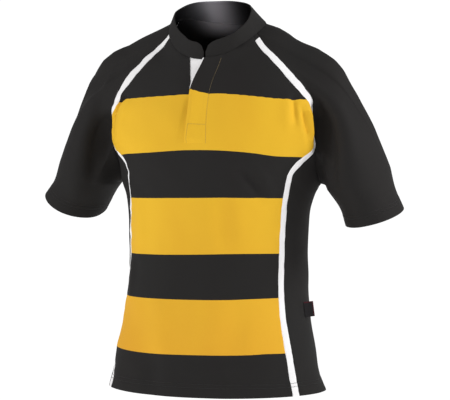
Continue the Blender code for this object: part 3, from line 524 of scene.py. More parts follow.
def sleeve_ring(side, place, turn):
    """Points round the sleeve at a place along its rings, 0 for the first and 1 for the cuff. A turn of 0 is
    under the arm, a quarter turn is the front and a half turn the outside."""
    ring = row_at(columns_of(SLEEVE_RINGS[side]), place)
    twist = np.radians(ring.twist)
    across = np.array([np.cos(twist), np.sin(twist), ring.rise]) * ring.across
    forward = np.array([np.sin(twist), -np.cos(twist), -ring.drop]) * ring.deep
    centre = np.array([ring.x, ring.y, ring.z])
    return centre - np.cos(turn)[:, None] * across + np.sin(turn)[:, None] * forward


def armhole(floor, front_edge, back_edge):
    """The closed line where the wearer's left sleeve starts, from the armpit round by the front, and the way
    the cloth faces at each of its points."""
    sides = []
    for angle, level in (front_edge, back_edge):
        place = angle[ABOVE], level[ABOVE]
        sides.append((body(*place), unit(np.cross(*body_slopes(*place)))))
    (front, front_out), (back, back_out) = sides
    share = cell_shares(NECK_COLUMNS)[1:-1]
    neck = body(front_edge[0][-1] + (back_edge[0][-1] - front_edge[0][-1]) * share, LEVELS[-1])
    line = np.concatenate([floor[HALF_PANEL:0:-1], front, neck, back[::-1], floor[-2:HALF_PANEL:-1]])
    below = np.tile([0.0, 0.0, -1.0], (HALF_PANEL, 1))
    shoulder = np.tile(SHOULDER_FACES, (len(share), 1))
    facing = np.concatenate([below, front_out, shoulder, back_out[::-1], below[1:]])
    return line, smoothed(facing, 2 * DETAIL**2)


def sleeve(line, facing, side):
    """A sleeve on the wearer's left: a strand of cloth from each point of the armhole to the cuff. Also the
    distance of each station from the cuff's edge."""
    walked = walked_along(np.concatenate([line, line[:1]]), 0)
    turn = 2 * math.pi * walked[:-1] / walked[-1]
    first = sleeve_ring(side, 0.0, turn)
    reach = np.linalg.norm(first - line, axis=1, keepdims=True)
    top = ((1 - np.cos(turn)) / 2)[:, None]  # 0 under the arm, 1 on the shoulder
    tangent = np.roll(line, -DETAIL, axis=0) - np.roll(line, DETAIL, axis=0)
    away = smoothed(np.cross(tangent, facing), DETAIL)
    way = unit(first - line)
    way -= facing * np.sum(way * facing, axis=1, keepdims=True) * top
    way = unit(way + away * top * (SPREAD["shoulder"] + SPREAD["chest"] * (1 - top) ** 2))
    leave = line + way * reach * (LEAVE_REACH + FULLNESS[side] * top)
    arrive = first - unit(SLEEVE_AXIS) * reach * (ARRIVE_REACH[0] + ARRIVE_REACH[1] * top)
    stations, from_cuff = [], []
    for t in cell_shares(CAP_STATIONS, seam_last=False)[:-1]:
        strand = (1 - t) ** 3 * line + 3 * t * (1 - t) ** 2 * leave
        stations.append(strand + 3 * t**2 * (1 - t) * arrive + t**3 * first)
        from_cuff.append(FAR)
    length = np.linalg.norm(np.subtract(SLEEVE_RINGS[side][-1][:3], SLEEVE_RINGS[side][0][:3]))
    for distance in [*np.linspace(length, HEM_ROWS[-1], ARM_STATIONS)[:-1], *HEM_ROWS[::-1]]:
        stations.append(sleeve_ring(side, 1 - distance / length, turn))
        from_cuff.append(distance)
    return np.array(stations), np.array(from_cuff)


def collar(base):
    """The stand collar, on the points of the collar seam from one end round the back to the other."""
    seam = RINGS[-1]
    ahead = base[:, 1] - seam.middle_y
    reach = np.where(ahead < 0, seam.front_y - seam.middle_y, seam.middle_y - seam.back_y)
    angle = np.arctan2(base[:, 0] / seam.half_width, ahead / reach)
    knots = np.radians([row.angle + turn for turn in (-360, 0, 360) for row in COLLAR_TOP])
    columns = list(zip(*COLLAR_TOP))[1:]
    top = np.stack([curve_through(knots, column * 3)(angle) for column in columns], axis=-1)
    walked = walked_along(base, 0)
    from_end = np.minimum(walked, walked[-1] - walked) / COLLAR_CORNER
    share = COLLAR_END_SHARE + (1 - COLLAR_END_SHARE) * rounded(from_end, 1, least=0)
    # The top edge keeps its place along the collar near the ends, where it would otherwise slant.
    keep = np.clip(1 - from_end / 3, 0, 1)[:, None]
    top = top * (1 - keep) + (base + [0, COLLAR_LEAN, 1] * (top[:, 2] - base[:, 2])[:, None]) * keep
    return base + (top - base) * share[:, None] * np.array(COLLAR_ROWS)[:, None, None]


def neck_line(fields):
    """The last row of every piece at the collar seam, from the throat round the wearer's left, the back and
    the right."""
    shoulder = HALF_PANEL + len(LEVELS) - 1 - CORNER_ROW  # where the front seam meets the collar
    on_sleeve = slice(shoulder + 1, shoulder + NECK_COLUMNS * DETAIL)
    end = (SIDE_COLUMNS + 3) * DETAIL
    runs = [
        fields["front"][-1, end:],
        fields["tape_front_left"][-1, 1:],
        fields["sleeve_left"][0, ::-1][on_sleeve],
        fields["tape_back_left"][-1, :-1],
        fields["back"][-1],
        fields["tape_back_right"][-1, 1:],
        fields["sleeve_right"][0, on_sleeve][::-1],
        fields["tape_front_right"][-1, :-1],
        fields["front"][-1, : end - DETAIL + 1],
    ]
    return np.concatenate(runs)


def flipped(points):
    """The same piece on the wearer's right, with its columns in the other order so that it faces out."""
    return (points * [-1, 1, 1])[:, ::-1]


# ---- relief: folds, unevenness and sewing ----


def folds_at(points):
    """How far the folds stand off the smooth surface at each point."""
    flat = points.reshape(-1, 3)
    total = np.zeros(len(flat))
    t = np.linspace(0, 1, FOLD_STEPS + 1)[:, None]
    for fold in FOLDS:
        control = 2 * fold.middle - (fold.start + fold.end) / 2
        line = (1 - t) ** 2 * fold.start + 2 * t * (1 - t) * control + t**2 * fold.end
        reach = 3 * fold.width
        near = np.all((flat > line.min(0) - reach) & (flat < line.max(0) + reach), axis=1)
        spots = flat[near]
        best, where = np.full(len(spots), FAR), np.zeros(len(spots))
        for k, (a, b) in enumerate(zip(line, line[1:])):
            run = b - a
            along = (spots - a) @ run / (run @ run)
            away = np.linalg.norm(spots - a - np.clip(along, 0, 1)[:, None] * run, axis=1)
            closer = away < best
            best[closer], where[closer] = away[closer], (k + along[closer]) / FOLD_STEPS
        taper = 1 - np.clip(np.abs(2 * where - 1) - TAPER, 0, 1)
        total[near] += fold.depth * np.exp(-((best / fold.width) ** 2)) * taper
    return total.reshape(points.shape[:-1])


def ripple(points, wave, seed):
    """Smooth unevenness of the wave's height, with humps about its reach apart."""
    draw = np.random.default_rng(seed)
    total = 0
    for _ in range(RIPPLES):
        way = unit(draw.normal(size=3)) * 2 * math.pi / (wave["reach"] * draw.uniform(*RIPPLE_SIZES))
        total = total + np.sin(points @ way + draw.uniform(0, 2 * math.pi))
    return wave["height"] * total / math.sqrt(RIPPLES / 2)


def uneven(points):
    """The folds with the cloth's broad and fine unevenness."""
    return folds_at(points) + ripple(points, SWELL, 1) + ripple(points, DIMPLE, 2)


def edge_distance(points, edges):
    """How far each point is from the nearest of these edges of its grid."""
    across, along = walked_along(points, 1), walked_along(points, 0)
    away = {"left": across, "right": across[:, -1:] - across, "first": along, "last": along[-1:] - along}
    return np.minimum.reduce([away[edge] for edge in edges])


def relief(points, from_seam, from_edge):
    """All that is pressed into the cloth, outwards. from_edge is the distance from a turned-up edge."""
    height = uneven(points) + ripple(points, PUCKER, 3) * np.exp(-from_seam / PUCKER["fade"])
    height -= SEAM_SINK * np.exp(-((from_seam / SEAM_REACH) ** 2))
    for line in HEM_LINES:
        height -= STITCH_SINK * np.exp(-(((from_edge - line) / STITCH_REACH) ** 2))
    return height


def hem_wall(from_edge):
    """The cloth's thickness by the distance from a turned-up edge, which is round."""
    turned = KNIT + (HEM_KNIT - KNIT) / (1 + np.exp((from_edge - HEM_TURNED) / HEM_STEP))
    return turned * rounded(from_edge, HEM_KNIT / 2)


# ---- meshes ----


def cell_corners(rows, columns, closed=False):
    """The corners of a grid's cells, as indices, and the row and column of each cell."""
    i, j = np.meshgrid(np.arange(rows - 1), np.arange(columns if closed else columns - 1), indexing="ij")
    i, j = i.ravel(), j.ravel()
    low, high, k = i * columns, (i + 1) * columns, (j + 1) % columns
    return np.stack([low + j, low + k, high + k, high + j], axis=1), i, j


def grid_normals(grids):
    """A normal for every point of every grid, the same for points that neighbours share."""
    flats, faces, starts = [], [], [0]
    for points, closed in grids.values():
        faces.append(cell_corners(*points.shape[:2], closed)[0] + starts[-1])
        flats.append(points.reshape(-1, 3))
        starts.append(starts[-1] + len(flats[-1]))
    flat, faces = np.concatenate(flats), np.concatenate(faces)
    same = np.unique(np.round(flat * 1e5).astype(np.int64), axis=0, return_inverse=True)[1].ravel()
    crosses = np.cross(flat[faces[:, 2]] - flat[faces[:, 0]], flat[faces[:, 3]] - flat[faces[:, 1]])
    totals = np.zeros((same.max() + 1, 3))
    for corner in range(4):
        np.add.at(totals, same[faces[:, corner]], crosses)
    normals = unit(totals[same])
    return {
        name: normals[starts[k] : starts[k + 1]].reshape(points.shape)
        for k, (name, (points, closed)) in enumerate(grids.items())
    }


def normals_of(points, closed=False):
    return grid_normals({"": (points, closed)})[""]


def link(name, data):
    piece = bpy.data.objects.new(name, data)
    bpy.context.scene.collection.objects.link(piece)
    return piece


def shell(name, points, wall, finishes, marks=(), kept=None, closed=False, inside=0):
    """A thin closed wall of cloth on a grid of points. wall is its thickness and marks are values at the
    points for the finishes. inside is the finish of its inner face, for all of it or by cell. The cloth
    attribute holds each point's place on the flat cut: across, along."""
    rows, columns = points.shape[:2]
    faces, i, j = cell_corners(rows, columns, closed)
    if kept is not None:
        faces = faces[kept[i, j]]
    half = normals_of(points, closed) * (np.broadcast_to(wall, (rows, columns))[..., None] / 2)
    used, renumbered = np.unique(faces, return_inverse=True)
    faces = renumbered.reshape(faces.shape)
    count = len(used)
    # the rim joins the two faces along each edge that only one cell has
    edges = np.concatenate([faces[:, [k, (k + 1) % 4]] for k in range(4)])
    end, start = edges[~np.isin(edges @ [count, 1], edges @ [1, count])].T
    rim = np.stack([start, end, end + count, start + count], axis=1)
    solid = np.concatenate([faces, faces[:, ::-1] + count, rim])
    both = np.concatenate([side.reshape(-1, 3)[used] for side in (points + half, points - half)])
    mesh = bpy.data.meshes.new(name)
    mesh.from_pydata(both.tolist(), [], solid.tolist())
    for finish in finishes:
        mesh.materials.append(finish)
    which = np.zeros(len(solid), np.int32)
    which[len(faces) : 2 * len(faces)] = inside if np.ndim(inside) == 0 else inside[i, j]
    mesh.polygons.foreach_set("material_index", which)
    mesh.shade_smooth()
    mesh.set_sharp_from_angle(angle=SHARP)
    place = np.zeros((rows, columns, 3))
    place[..., 0] = walked_along(points, 1).mean(axis=0)
    place[..., 1] = walked_along(points, 0).mean(axis=1)[:, None]
    for mark, values in {"cloth": place, **dict(marks)}.items():
        kind, label = ("FLOAT_VECTOR", "vector") if mark == "cloth" else ("FLOAT", "value")
        values = np.tile(values.reshape(rows * columns, -1)[used], (2, 1)).astype(np.float32)
        mesh.attributes.new(mark, kind, "POINT").data.foreach_set(label, values.ravel())
    return link(name, mesh)


def hoop_number(points, rise=0.0):
    """Counts the lines between the hoops, from the yoke down: whole numbers on the lines."""
    x, z = points[..., 0], points[..., 2] - rise
    lines = [line(x) for name, line in HOOPS_AT.items() if name != "x"]
    number = np.clip((lines[-1] - z) / HOOP_FADE, 0, None) - np.clip((z - lines[0]) / HOOP_FADE, 0, None)
    for above, below in zip(lines, lines[1:]):
        number = number + np.clip((above - z) / (above - below), 0, 1)
    return number


def painted_sheen_share(points):
    """How much of the neck's lining has its painted sheen rather than black: a painted highlight, strongest a
    little to the wearer's right of the centre back, going over into painted shade at the sides and towards
    the bottom.
    """
    x, z = points[..., 0], points[..., 2]
    reach = np.where(x < PAINTED_SHEEN_MIDDLE, *PAINTED_SHEEN_REACH)
    return np.exp(-(((x - PAINTED_SHEEN_MIDDLE) / reach) ** 2)) * eased(ramp(z, *PAINTED_SHEEN_FADES))


THREAD = {}
STITCH_PITCH = 0.0031
STITCH_SINKS = 0.35  # of its radius
STITCH_PARTS = ((-0.34, 0.85, 0.25), (0.0, 1.0, 0.0), (0.34, 0.85, 0.25))  # its place, size and dip
STITCH_TIPS = (0.5, 1.2)  # their place and dip


def stitches(name, line, facing, finish, length=0.0024, radius=0.00032, closed=False):
    """A run of stitches along a line on the cloth, each a short thread that dives into it at both ends."""
    if closed:
        line, facing = np.concatenate([line, line[:1]]), np.concatenate([facing, facing[:1]])
    walked = walked_along(line, 0)
    middles = np.arange(STITCH_PITCH / 2, walked[-1], STITCH_PITCH)
    out = unit(sampled(middles, walked, facing))
    ahead = unit(sampled(middles + length / 2, walked, line) - sampled(middles - length / 2, walked, line))
    across = unit(np.cross(ahead, out))
    centre = sampled(middles, walked, line) + out * radius * (1 - STITCH_SINKS)
    # each thread is a ring of four points at its start, its middle and its end, and two tips in the cloth
    vertices = []
    for share, size, dip in STITCH_PARTS:
        spot = centre + ahead * length * share - out * radius * dip
        for side, up in ((1, 0), (0, 1), (-1, 0), (0, -1)):
            vertices.append(spot + (across * side + out * up) * radius * size)
    for way in (-1, 1):
        vertices.append(centre + ahead * length * way * STITCH_TIPS[0] - out * radius * STITCH_TIPS[1])
    turns = [(k, (k + 1) % 4) for k in range(4)]
    faces = [(first + k, first + n, first + 4 + n, first + 4 + k) for first in (0, 4) for k, n in turns]
    for k, n in turns:
        faces += [(12, n, k), (13, 8 + k, 8 + n)]
    each = len(vertices)
    faces = [tuple(each * i + corner for corner in face) for i in range(len(middles)) for face in faces]
    mesh = bpy.data.meshes.new(name)
    mesh.from_pydata(np.stack(vertices, axis=1).reshape(-1, 3).tolist(), [], faces)
    mesh.materials.append(finish)
    mesh.shade_smooth()
    THREAD[name] = link(name, mesh)


# ---- finishes ----


def put(tree, kind, inputs=(), **settings):
    """A node with its settings and its inputs, each a value or the socket that feeds it."""
    node = tree.nodes.new(kind)
    for key, value in settings.items():
        setattr(node, key, value)
    for key, value in dict(inputs).items():
        if isinstance(value, bpy.types.NodeSocket):
            tree.links.new(value, node.inputs[key])
        else:
            node.inputs[key].default_value = value
    return node


def sums(tree, operation, *values):
    """A Math node's result."""
    return put(tree, "ShaderNodeMath", list(enumerate(values)), operation=operation).outputs[0]


def product(tree, one, other):
    """The product of two vectors or colours."""
    return put(tree, "ShaderNodeVectorMath", {0: one, 1: other}, operation="MULTIPLY").outputs[0]


def centred(tree, noise):
    return sums(tree, "SUBTRACT", noise, 0.5)


LOOP_DEPTH = 0.25  # of a rib's height
CLOUD_SCALE, SPECK_SCALE = 8.0, 420.0
CLOUD_SHARE, SPECK_SHARE = 3.0, 0.6  # of the dye's unevenness
CLOUD_STRETCH = (1.0, 1.0, 0.35)  # the clouds are longest down the cloth
RED_FALLS = 0.45  # of what green and blue do where the colour is darker, in the dye's unevenness and in the painted shade of the hollows
NAP_ROUGHNESS = 0.16  # between the roughest and the smoothest speck
BUMP_STRENGTH = 0.6
THREAD_UNEVENNESS, THREAD_NAP, THREAD_ROUGHNESS = 0.35, 0.2, 0.4


def group(name, inputs, outputs):
    """An empty shader group, with its input and output sockets. An input is given by its kind of socket, or
    for a number by its usual value."""
    tree = bpy.data.node_groups.new(name, "ShaderNodeTree")
    for label, value in inputs.items():
        is_number = isinstance(value, float)
        kind = "NodeSocketFloat" if is_number else value
        socket = tree.interface.new_socket(name=label, in_out="INPUT", socket_type=kind)
        if is_number:
            socket.default_value = value
    for label, kind in outputs.items():
        tree.interface.new_socket(name=label, in_out="OUTPUT", socket_type=kind)
    return tree, tree.nodes.new("NodeGroupInput").outputs, tree.nodes.new("NodeGroupOutput").inputs


def knit_group():
    """Rows of knitted loops: upright wales, each made of slanting loops, one above the other."""
    inputs = {"Place": "NodeSocketVector", "Wale": 0.0011, "Course": 0.0008}
    tree, given, made = group("knit", inputs, {"Height": "NodeSocketFloat", "Hollow": "NodeSocketFloat"})
    place = put(tree, "ShaderNodeSeparateXYZ", {0: given["Place"]})
    wale = sums(tree, "DIVIDE", place.outputs[0], given["Wale"])
    rib = sums(tree, "ABSOLUTE", sums(tree, "SINE", sums(tree, "MULTIPLY", wale, math.pi)))
    slant = sums(tree, "PINGPONG", wale, 0.5)
    course = sums(tree, "DIVIDE", place.outputs[1], given["Course"])
    loop = sums(tree, "SINE", sums(tree, "MULTIPLY", sums(tree, "ADD", course, slant), 2 * math.pi))
    height = sums(tree, "MULTIPLY", rib, sums(tree, "MULTIPLY_ADD", loop, LOOP_DEPTH, 1 - LOOP_DEPTH))
    tree.links.new(height, made["Height"])
    tree.links.new(sums(tree, "SUBTRACT", 1.0, height), made["Hollow"])
    return tree


def dye_group():
    """A dyed colour, a little uneven, with painted shade darkening the hollows between the loops."""
    inputs = {"Colour": "NodeSocketColor", "Unevenness": 0.06, "Hollow": 0.0, "Depth": 0.12}
    tree, given, made = group("dye", inputs, {"Colour": "NodeSocketColor", "Nap": "NodeSocketFloat"})
    place = put(tree, "ShaderNodeTexCoord").outputs["Object"]
    hanging = product(tree, place, CLOUD_STRETCH)
    cloud, speck = (
        put(tree, "ShaderNodeTexNoise", {"Vector": where, "Scale": scale, "Detail": 2.0}).outputs["Fac"]
        for where, scale in ((hanging, CLOUD_SCALE), (place, SPECK_SCALE))
    )
    cloud = sums(tree, "MULTIPLY", centred(tree, cloud), CLOUD_SHARE)
    mottle = sums(tree, "MULTIPLY_ADD", centred(tree, speck), SPECK_SHARE, cloud)
    bright = sums(tree, "MULTIPLY_ADD", mottle, given["Unevenness"], 1.0)
    # painted shade: darker in the hollows between the loops
    bright = sums(tree, "SUBTRACT", bright, sums(tree, "MULTIPLY", given["Hollow"], given["Depth"]))
    # a darker place is warmer too, in the dye's unevenness and in the painted shade of the hollows
    red = sums(tree, "MULTIPLY_ADD", bright, RED_FALLS, 1 - RED_FALLS)
    tone = put(tree, "ShaderNodeCombineXYZ", {0: red, 1: bright, 2: bright}).outputs[0]
    tree.links.new(product(tree, given["Colour"], tone), made["Colour"])
    tree.links.new(speck, made["Nap"])
    return tree


KNIT_GROUP, DYE_GROUP = knit_group(), dye_group()


def new_finish(name):
    finish = bpy.data.materials.new(name)
    finish.use_nodes = True
    return finish, finish.node_tree, finish.node_tree.nodes["Principled BSDF"]


def mixed(tree, share, one, other, **settings):
    """One colour turned into the other by the share."""
    return put(tree, "ShaderNodeMix", {0: share, 6: one, 7: other}, data_type="RGBA", **settings).outputs[2]


def two_colours(tree, colour, second, mark):
    """The colour, with the second one in every other hoop, under the collar's binding or by the mark. In the
    lower hoops the gold goes over into painted shade.
    """
    share = put(tree, "ShaderNodeAttribute", attribute_name=mark).outputs["Fac"]
    if mark == "hoop":
        # painted shade: the gold turns darker and more orange in the lower hoops
        hip_shade_share = sums(tree, "MULTIPLY_ADD", share, *GOLD_SHADE_FADES)
        second = mixed(tree, hip_shade_share, second, (*GOLD_IN_PAINTED_SHADE, 1), clamp_factor=True)
        share = sums(tree, "FLOORED_MODULO", share, 2.0)
    if mark in ("hoop", "past_binding"):
        share = sums(tree, "LESS_THAN", share, 1.0 if mark == "hoop" else 0.0)
    return mixed(tree, share, colour, second)


def cloth_finish(name, colour, kind, second=None, mark=""):
    """Cloth of a kind of knit, with a second colour where the mark says."""
    finish, tree, shader = new_finish(name)
    dyed = (*colour, 1)
    place = put(tree, "ShaderNodeAttribute", attribute_name="cloth").outputs["Vector"]
    gauge = {"Place": place, "Wale": kind.wale, "Course": kind.course}
    knit = put(tree, "ShaderNodeGroup", gauge, node_tree=KNIT_GROUP).outputs
    if second is not None:
        dyed = two_colours(tree, dyed, (*second, 1), mark)
    inputs = {"Colour": dyed, "Unevenness": kind.unevenness, "Hollow": knit["Hollow"], "Depth": kind.hollow}
    dye = put(tree, "ShaderNodeGroup", inputs, node_tree=DYE_GROUP).outputs
    tree.links.new(dye["Colour"], shader.inputs["Base Color"])
    rough = sums(tree, "MULTIPLY_ADD", dye["Nap"], NAP_ROUGHNESS, kind.roughness - NAP_ROUGHNESS / 2)
    tree.links.new(rough, shader.inputs["Roughness"])
    bump = {"Height": knit["Height"], "Distance": kind.relief, "Strength": BUMP_STRENGTH}
    tree.links.new(put(tree, "ShaderNodeBump", bump).outputs[0], shader.inputs["Normal"])
    shader.inputs["Specular IOR Level"].default_value = kind.specular
    finish.diffuse_color = (*colour, 1)
    return finish


def thread_finish(name, colour):
    """Sewing thread, a little uneven in colour and roughness."""
    finish, tree, shader = new_finish(name)
    inputs = {"Colour": (*colour, 1), "Unevenness": THREAD_UNEVENNESS}
    dye = put(tree, "ShaderNodeGroup", inputs, node_tree=DYE_GROUP).outputs
    tree.links.new(dye["Colour"], shader.inputs["Base Color"])
    rough = sums(tree, "MULTIPLY_ADD", dye["Nap"], THREAD_NAP, THREAD_ROUGHNESS)
    tree.links.new(rough, shader.inputs["Roughness"])
    return finish


# the last but one field is how dark the painted shade in the knit's hollows is
Kind = namedtuple("Kind", "wale course relief roughness unevenness hollow specular")
JERSEY = Kind(0.0011, 0.0008, 0.00010, 0.74, 0.10, 0.12, 0.15)
FINE_JERSEY = Kind(0.0009, 0.0007, 0.00008, 0.80, 0.03, 0.05, 0.15)
LINING = Kind(0.0006, 0.0005, 0.00002, 0.50, 0.10, 0.12, 0.06)
WOVEN = Kind(0.0005, 0.0004, 0.00005, 0.45, 0.10, 0.12, 0.15)

hooped_cloth = cloth_finish("hooped_cloth", BLACK, JERSEY, second=GOLD, mark="hoop")
black_cloth = cloth_finish("black_cloth", BLACK, JERSEY)
white_cloth = cloth_finish("white_cloth", WHITE, FINE_JERSEY)
tape_cloth = cloth_finish("tape_cloth", WHITE, FINE_JERSEY, second=BLACK, mark="past_binding")
# the lining at the neck: its own black, with a painted highlight that fades into painted shade
neck_lining_painted_sheen = cloth_finish("neck_lining_painted_sheen", LINING_BLACK_AND_SHADE, LINING, second=PAINTED_SHEEN, mark="satin")
woven_label = cloth_finish("woven_label", LABEL_BLACK, WOVEN)
label_edge = cloth_finish("label_edge", LABEL_RED, WOVEN._replace(roughness=0.50))
black_thread = thread_finish("black_thread", BLACK_THREAD)
olive_thread = thread_finish("olive_thread", OLIVE_THREAD)

# ---- the grids ----


def between(start, end):
    """A tape, straight across between its two edges."""
    a, b = body(*start), body(*end)
    return a[:, None] + (b - a)[:, None] * TAPE_SHARES[:, None]


def body_grids():
    """The grid of every piece of the shell and whether it closes round on itself, and the sleeves' distances
    from the cuff."""
    grids, front_edge, from_cuff = {}, {}, {}
    back_in, back_out = tape_lines("back")
    for side in ("left", "right"):
        front_edge[side], front_out = tape_lines(side)
        panel = side_panel(front_out, back_out)
        cuts = {"side_panel": panel, "tape_front": between(front_edge[side], front_out)}
        cuts["tape_back"] = between(back_out, back_in)
        for name, points in cuts.items():
            grids[f"{name}_{side}"] = (points if side == "left" else flipped(points), False)
        arm, from_cuff[side] = sleeve(*armhole(panel[-1], front_out, back_out), side)
        grids[f"sleeve_{side}"] = (arm[:, ::-1] if side == "left" else arm * [-1, 1, 1], True)
    grids["front"] = (body(*front_places(front_edge["left"], front_edge["right"])), False)
    back_angles = spread(back_in[0], 2 * math.pi - back_in[0], cell_shares(BACK_COLUMNS))
    grids["back"] = (body(back_angles, back_in[1][:, None]), False)
    return grids, from_cuff


def pressed(grids, from_cuff):
    """The grids dropped at the shoulder, smooth and then with all their relief. Also each point's distance
    from a turned-up edge."""
    grids = {name: (dropped(points), closed) for name, (points, closed) in grids.items()}
    smooth = {name: points for name, (points, closed) in grids.items()}
    smooth["collar"] = collar(neck_line(smooth))
    grids["collar"] = (smooth["collar"], False)
    normals = grid_normals(grids)
    made, edges = {}, {}
    for name, points in smooth.items():
        sewn, from_edge = ["left", "right", "last"], LEVELS[: len(points)] - LEVELS[0]
        if name.startswith("sleeve"):
            sewn, from_edge = ["first"], from_cuff[name.removeprefix("sleeve_")]
        elif name == "collar":
            sewn, from_edge = ["first"], np.full(len(points), FAR)
        edges[name] = np.broadcast_to(from_edge[:, None], points.shape[:2])
        height = relief(points, edge_distance(points, sewn), edges[name])
        made[name] = points + normals[name] * height[..., None]
    return smooth, made, edges


smooth, made, from_hem = pressed(*body_grids())
pieces = {}

# ---- body, sleeves and tapes ----

LINING_LEVEL = -0.125  # the lining at the neck, with its painted sheen, reaches down to here
LINING_RADIUS = 0.130  # and on the sleeves this far from the neck's middle


def cells_of(name, value):
    """The same value for each cell of a piece's grid."""
    return np.full(np.array(made[name].shape[:2]) - 1, value)


def dress(name, finishes, marks=(), **more):
    """A piece of the shell in its cloth."""
    pieces[name] = shell(name, made[name], hem_wall(from_hem[name]), finishes, marks, **more)


# The front is cut out behind the flap.
kept = cells_of("front", True)
kept[CUT_ROW:, (SIDE_COLUMNS + 1) * DETAIL : (SIDE_COLUMNS + 4) * DETAIL] = False
dress("front", [hooped_cloth], {"hoop": hoop_number(smooth["front"])}, kept=kept)
# The back is lined at the neck, with a painted sheen, which is seen through the collar.
lined = cells_of("back", 0)
lined[LEVELS[1:] > LINING_LEVEL] = 1
marks = {"hoop": hoop_number(smooth["back"]), "satin": painted_sheen_share(smooth["back"])}
dress("back", [hooped_cloth, neck_lining_painted_sheen], marks, inside=lined)
for side in ("left", "right"):
    dress(f"side_panel_{side}", [black_cloth])
    for name in (f"tape_front_{side}", f"tape_back_{side}"):
        # inside, the tape's black seam allowance covers it, and the lining with its painted sheen at the neck
        covered = cells_of(name, 1)
        covered[(LEVELS[1:] > LINING_LEVEL) & ("back" in name)] = 2
        to_end = walked_along(made[name][::-1], 0)[::-1]
        cover = BINDING_COVERS.get(name, BINDING_COVERS["others"])
        marks = {"satin": painted_sheen_share(smooth[name]), "past_binding": to_end - cover}
        dress(name, [tape_cloth, black_cloth, neck_lining_painted_sheen], marks, inside=covered)
    # the lining at the neck runs on over the sleeve's end between the two tapes
    arm = made[f"sleeve_{side}"]
    lined = (np.hypot(arm[:-1, :, 0], arm[:-1, :, 1]) < LINING_RADIUS).astype(int)
    marks = {"satin": painted_sheen_share(arm)}
    dress(f"sleeve_{side}", [black_cloth, neck_lining_painted_sheen], marks, closed=True, inside=lined)

# ---- collar ----

COLLAR_PAINTED_SHEEN = 0.54  # of the painted sheen that the lining has on the back, kept lower on the collar, which the light reaches more

grid = made["collar"]
collar_wall = COLLAR_KNIT * rounded(edge_distance(grid, ["left", "right", "last"]), COLLAR_KNIT / 2)
marks = {"satin": COLLAR_PAINTED_SHEEN * painted_sheen_share(grid)}
pieces["collar"] = shell("collar", grid, collar_wall, [black_cloth, neck_lining_painted_sheen], marks, inside=1)

# ---- placket ----

FLAP_SHARES = np.array([0, 0.008, 0.02, 0.05, *np.linspace(0.09, 0.9, 16), 0.95, 0.98, 1])
FLAP_KNIT = 0.0014
FLAP_LIFTED = 0.85  # the share of its width over which the flap stands off
FLAP_RESTS = 0.75 * LAYER
FLAP_SINKS = 0.0004  # where it runs into the front
RUNS_IN = (0.22, 0.012)  # the share of its width and the height at its foot over which it does so
LINING_REACH = 0.0028  # how far the flap's white lining shows past its free side, at the collar
LINING_ENDS = (-0.143, -0.123)  # the heights between which it comes out
LINING_WIDTH, LINING_KNIT, LINING_COLUMNS = 0.012, 0.0007, 8
LINING_SINKS = 0.0011  # below the flap
FACING_SINKS, FACING_KNIT, FACING_COLUMNS = 0.0014, 0.0009, 24
FACING_SIDES = (-0.012, -0.002)  # where they lie, in x from the slit's two


def on_front(x, level, lift):
    """Points on the front at these x, moved out by lift, the way the cloth faces, and the smooth points."""
    points = dropped(body(angle_of_x(x, level), level))
    facing = normals_of(points)
    return points + facing * (uneven(points) + lift)[..., None], facing, points


placket_levels = LEVELS[ABOVE][:, None]
placket = row_at(PLACKET_AT, RING_AT["front_z"](placket_levels))
flap_width = placket.stitched_edge - placket.free_edge
# The flap is the front's own edge folded over, so it runs into the front at its stitched side and its foot.
runs_in = ramp(1 - FLAP_SHARES, 0, RUNS_IN[0]) * ramp(placket.z - placket.z[0], 0, RUNS_IN[1])
runs_in = eased(runs_in)
lifted = 0.5 + 0.5 * np.cos(math.pi * ramp(FLAP_SHARES, 0, FLAP_LIFTED))
flap_lift = (FLAP_RESTS + placket.lift * lifted) * runs_in - FLAP_SINKS * (1 - runs_in)
flap_x = placket.free_edge + flap_width * FLAP_SHARES
flap, flap_out, flap_smooth = on_front(flap_x, placket_levels, flap_lift)
flap_wall = FLAP_KNIT * rounded(edge_distance(flap, ["left", "first"]), FLAP_KNIT / 2)
marks = {"hoop": hoop_number(flap_smooth, rise=FLAP_HOOP_RISE * (1 - FLAP_SHARES) ** 1.5)}
pieces["placket_flap"] = shell("placket_flap", flap, flap_wall, [hooped_cloth, white_cloth], marks, inside=1)

rows = placket.z[:, 0] > LINING_ENDS[0]
lining_reach = LINING_REACH * ramp(placket.z, *LINING_ENDS) ** 0.5
lining_x = placket.free_edge - lining_reach + LINING_WIDTH * np.linspace(0, 1, LINING_COLUMNS + 1)
lining_lift = FLAP_RESTS + placket.lift - LINING_SINKS
grid = on_front(lining_x[rows], placket_levels[rows], lining_lift[rows])[0]
pieces["flap_lining"] = shell("flap_lining", grid, LINING_KNIT, [white_cloth])

rows = slice(CUT_ROW - CORNER_ROW - DETAIL // 2, None)
facing_left, facing_right = placket.left_cut + FACING_SIDES[0], placket.right_cut + FACING_SIDES[1]
facing_x = facing_left + (facing_right - facing_left) * np.linspace(0, 1, FACING_COLUMNS + 1)
grid = on_front(facing_x[rows], placket_levels[rows], -FACING_SINKS)[0]
pieces["placket_facing"] = shell("placket_facing", grid, FACING_KNIT, [white_cloth])

# ---- woven label ----

LABEL_SIZE = (0.018, 0.0010, 0.029)
LABEL_HEIGHT = -0.558
LABEL_ANGLE = math.radians(84)  # where it leaves the body
LABEL_OUT = 0.0014
LABEL_TURN = math.radians(25)
LABEL_TILT = math.radians(-7)
LABEL_BORDER = 0.0022
LABEL_COLUMNS = np.linspace(0.08, 0.86, 8)  # inside its border, as shares of its reach
LABEL_ROWS = np.linspace(0.1, 0.9, 9)  # the same of its height
LABEL_CURL = (0.0011, 0.0008, 0.0005)  # in the middle, at the fold, and from foot to top
LABEL_WAVE = 3.0  # radians of the last, from foot to top
LABEL_THINS = (0.97, 0.6)  # from this share of its reach on, to this share of its thickness


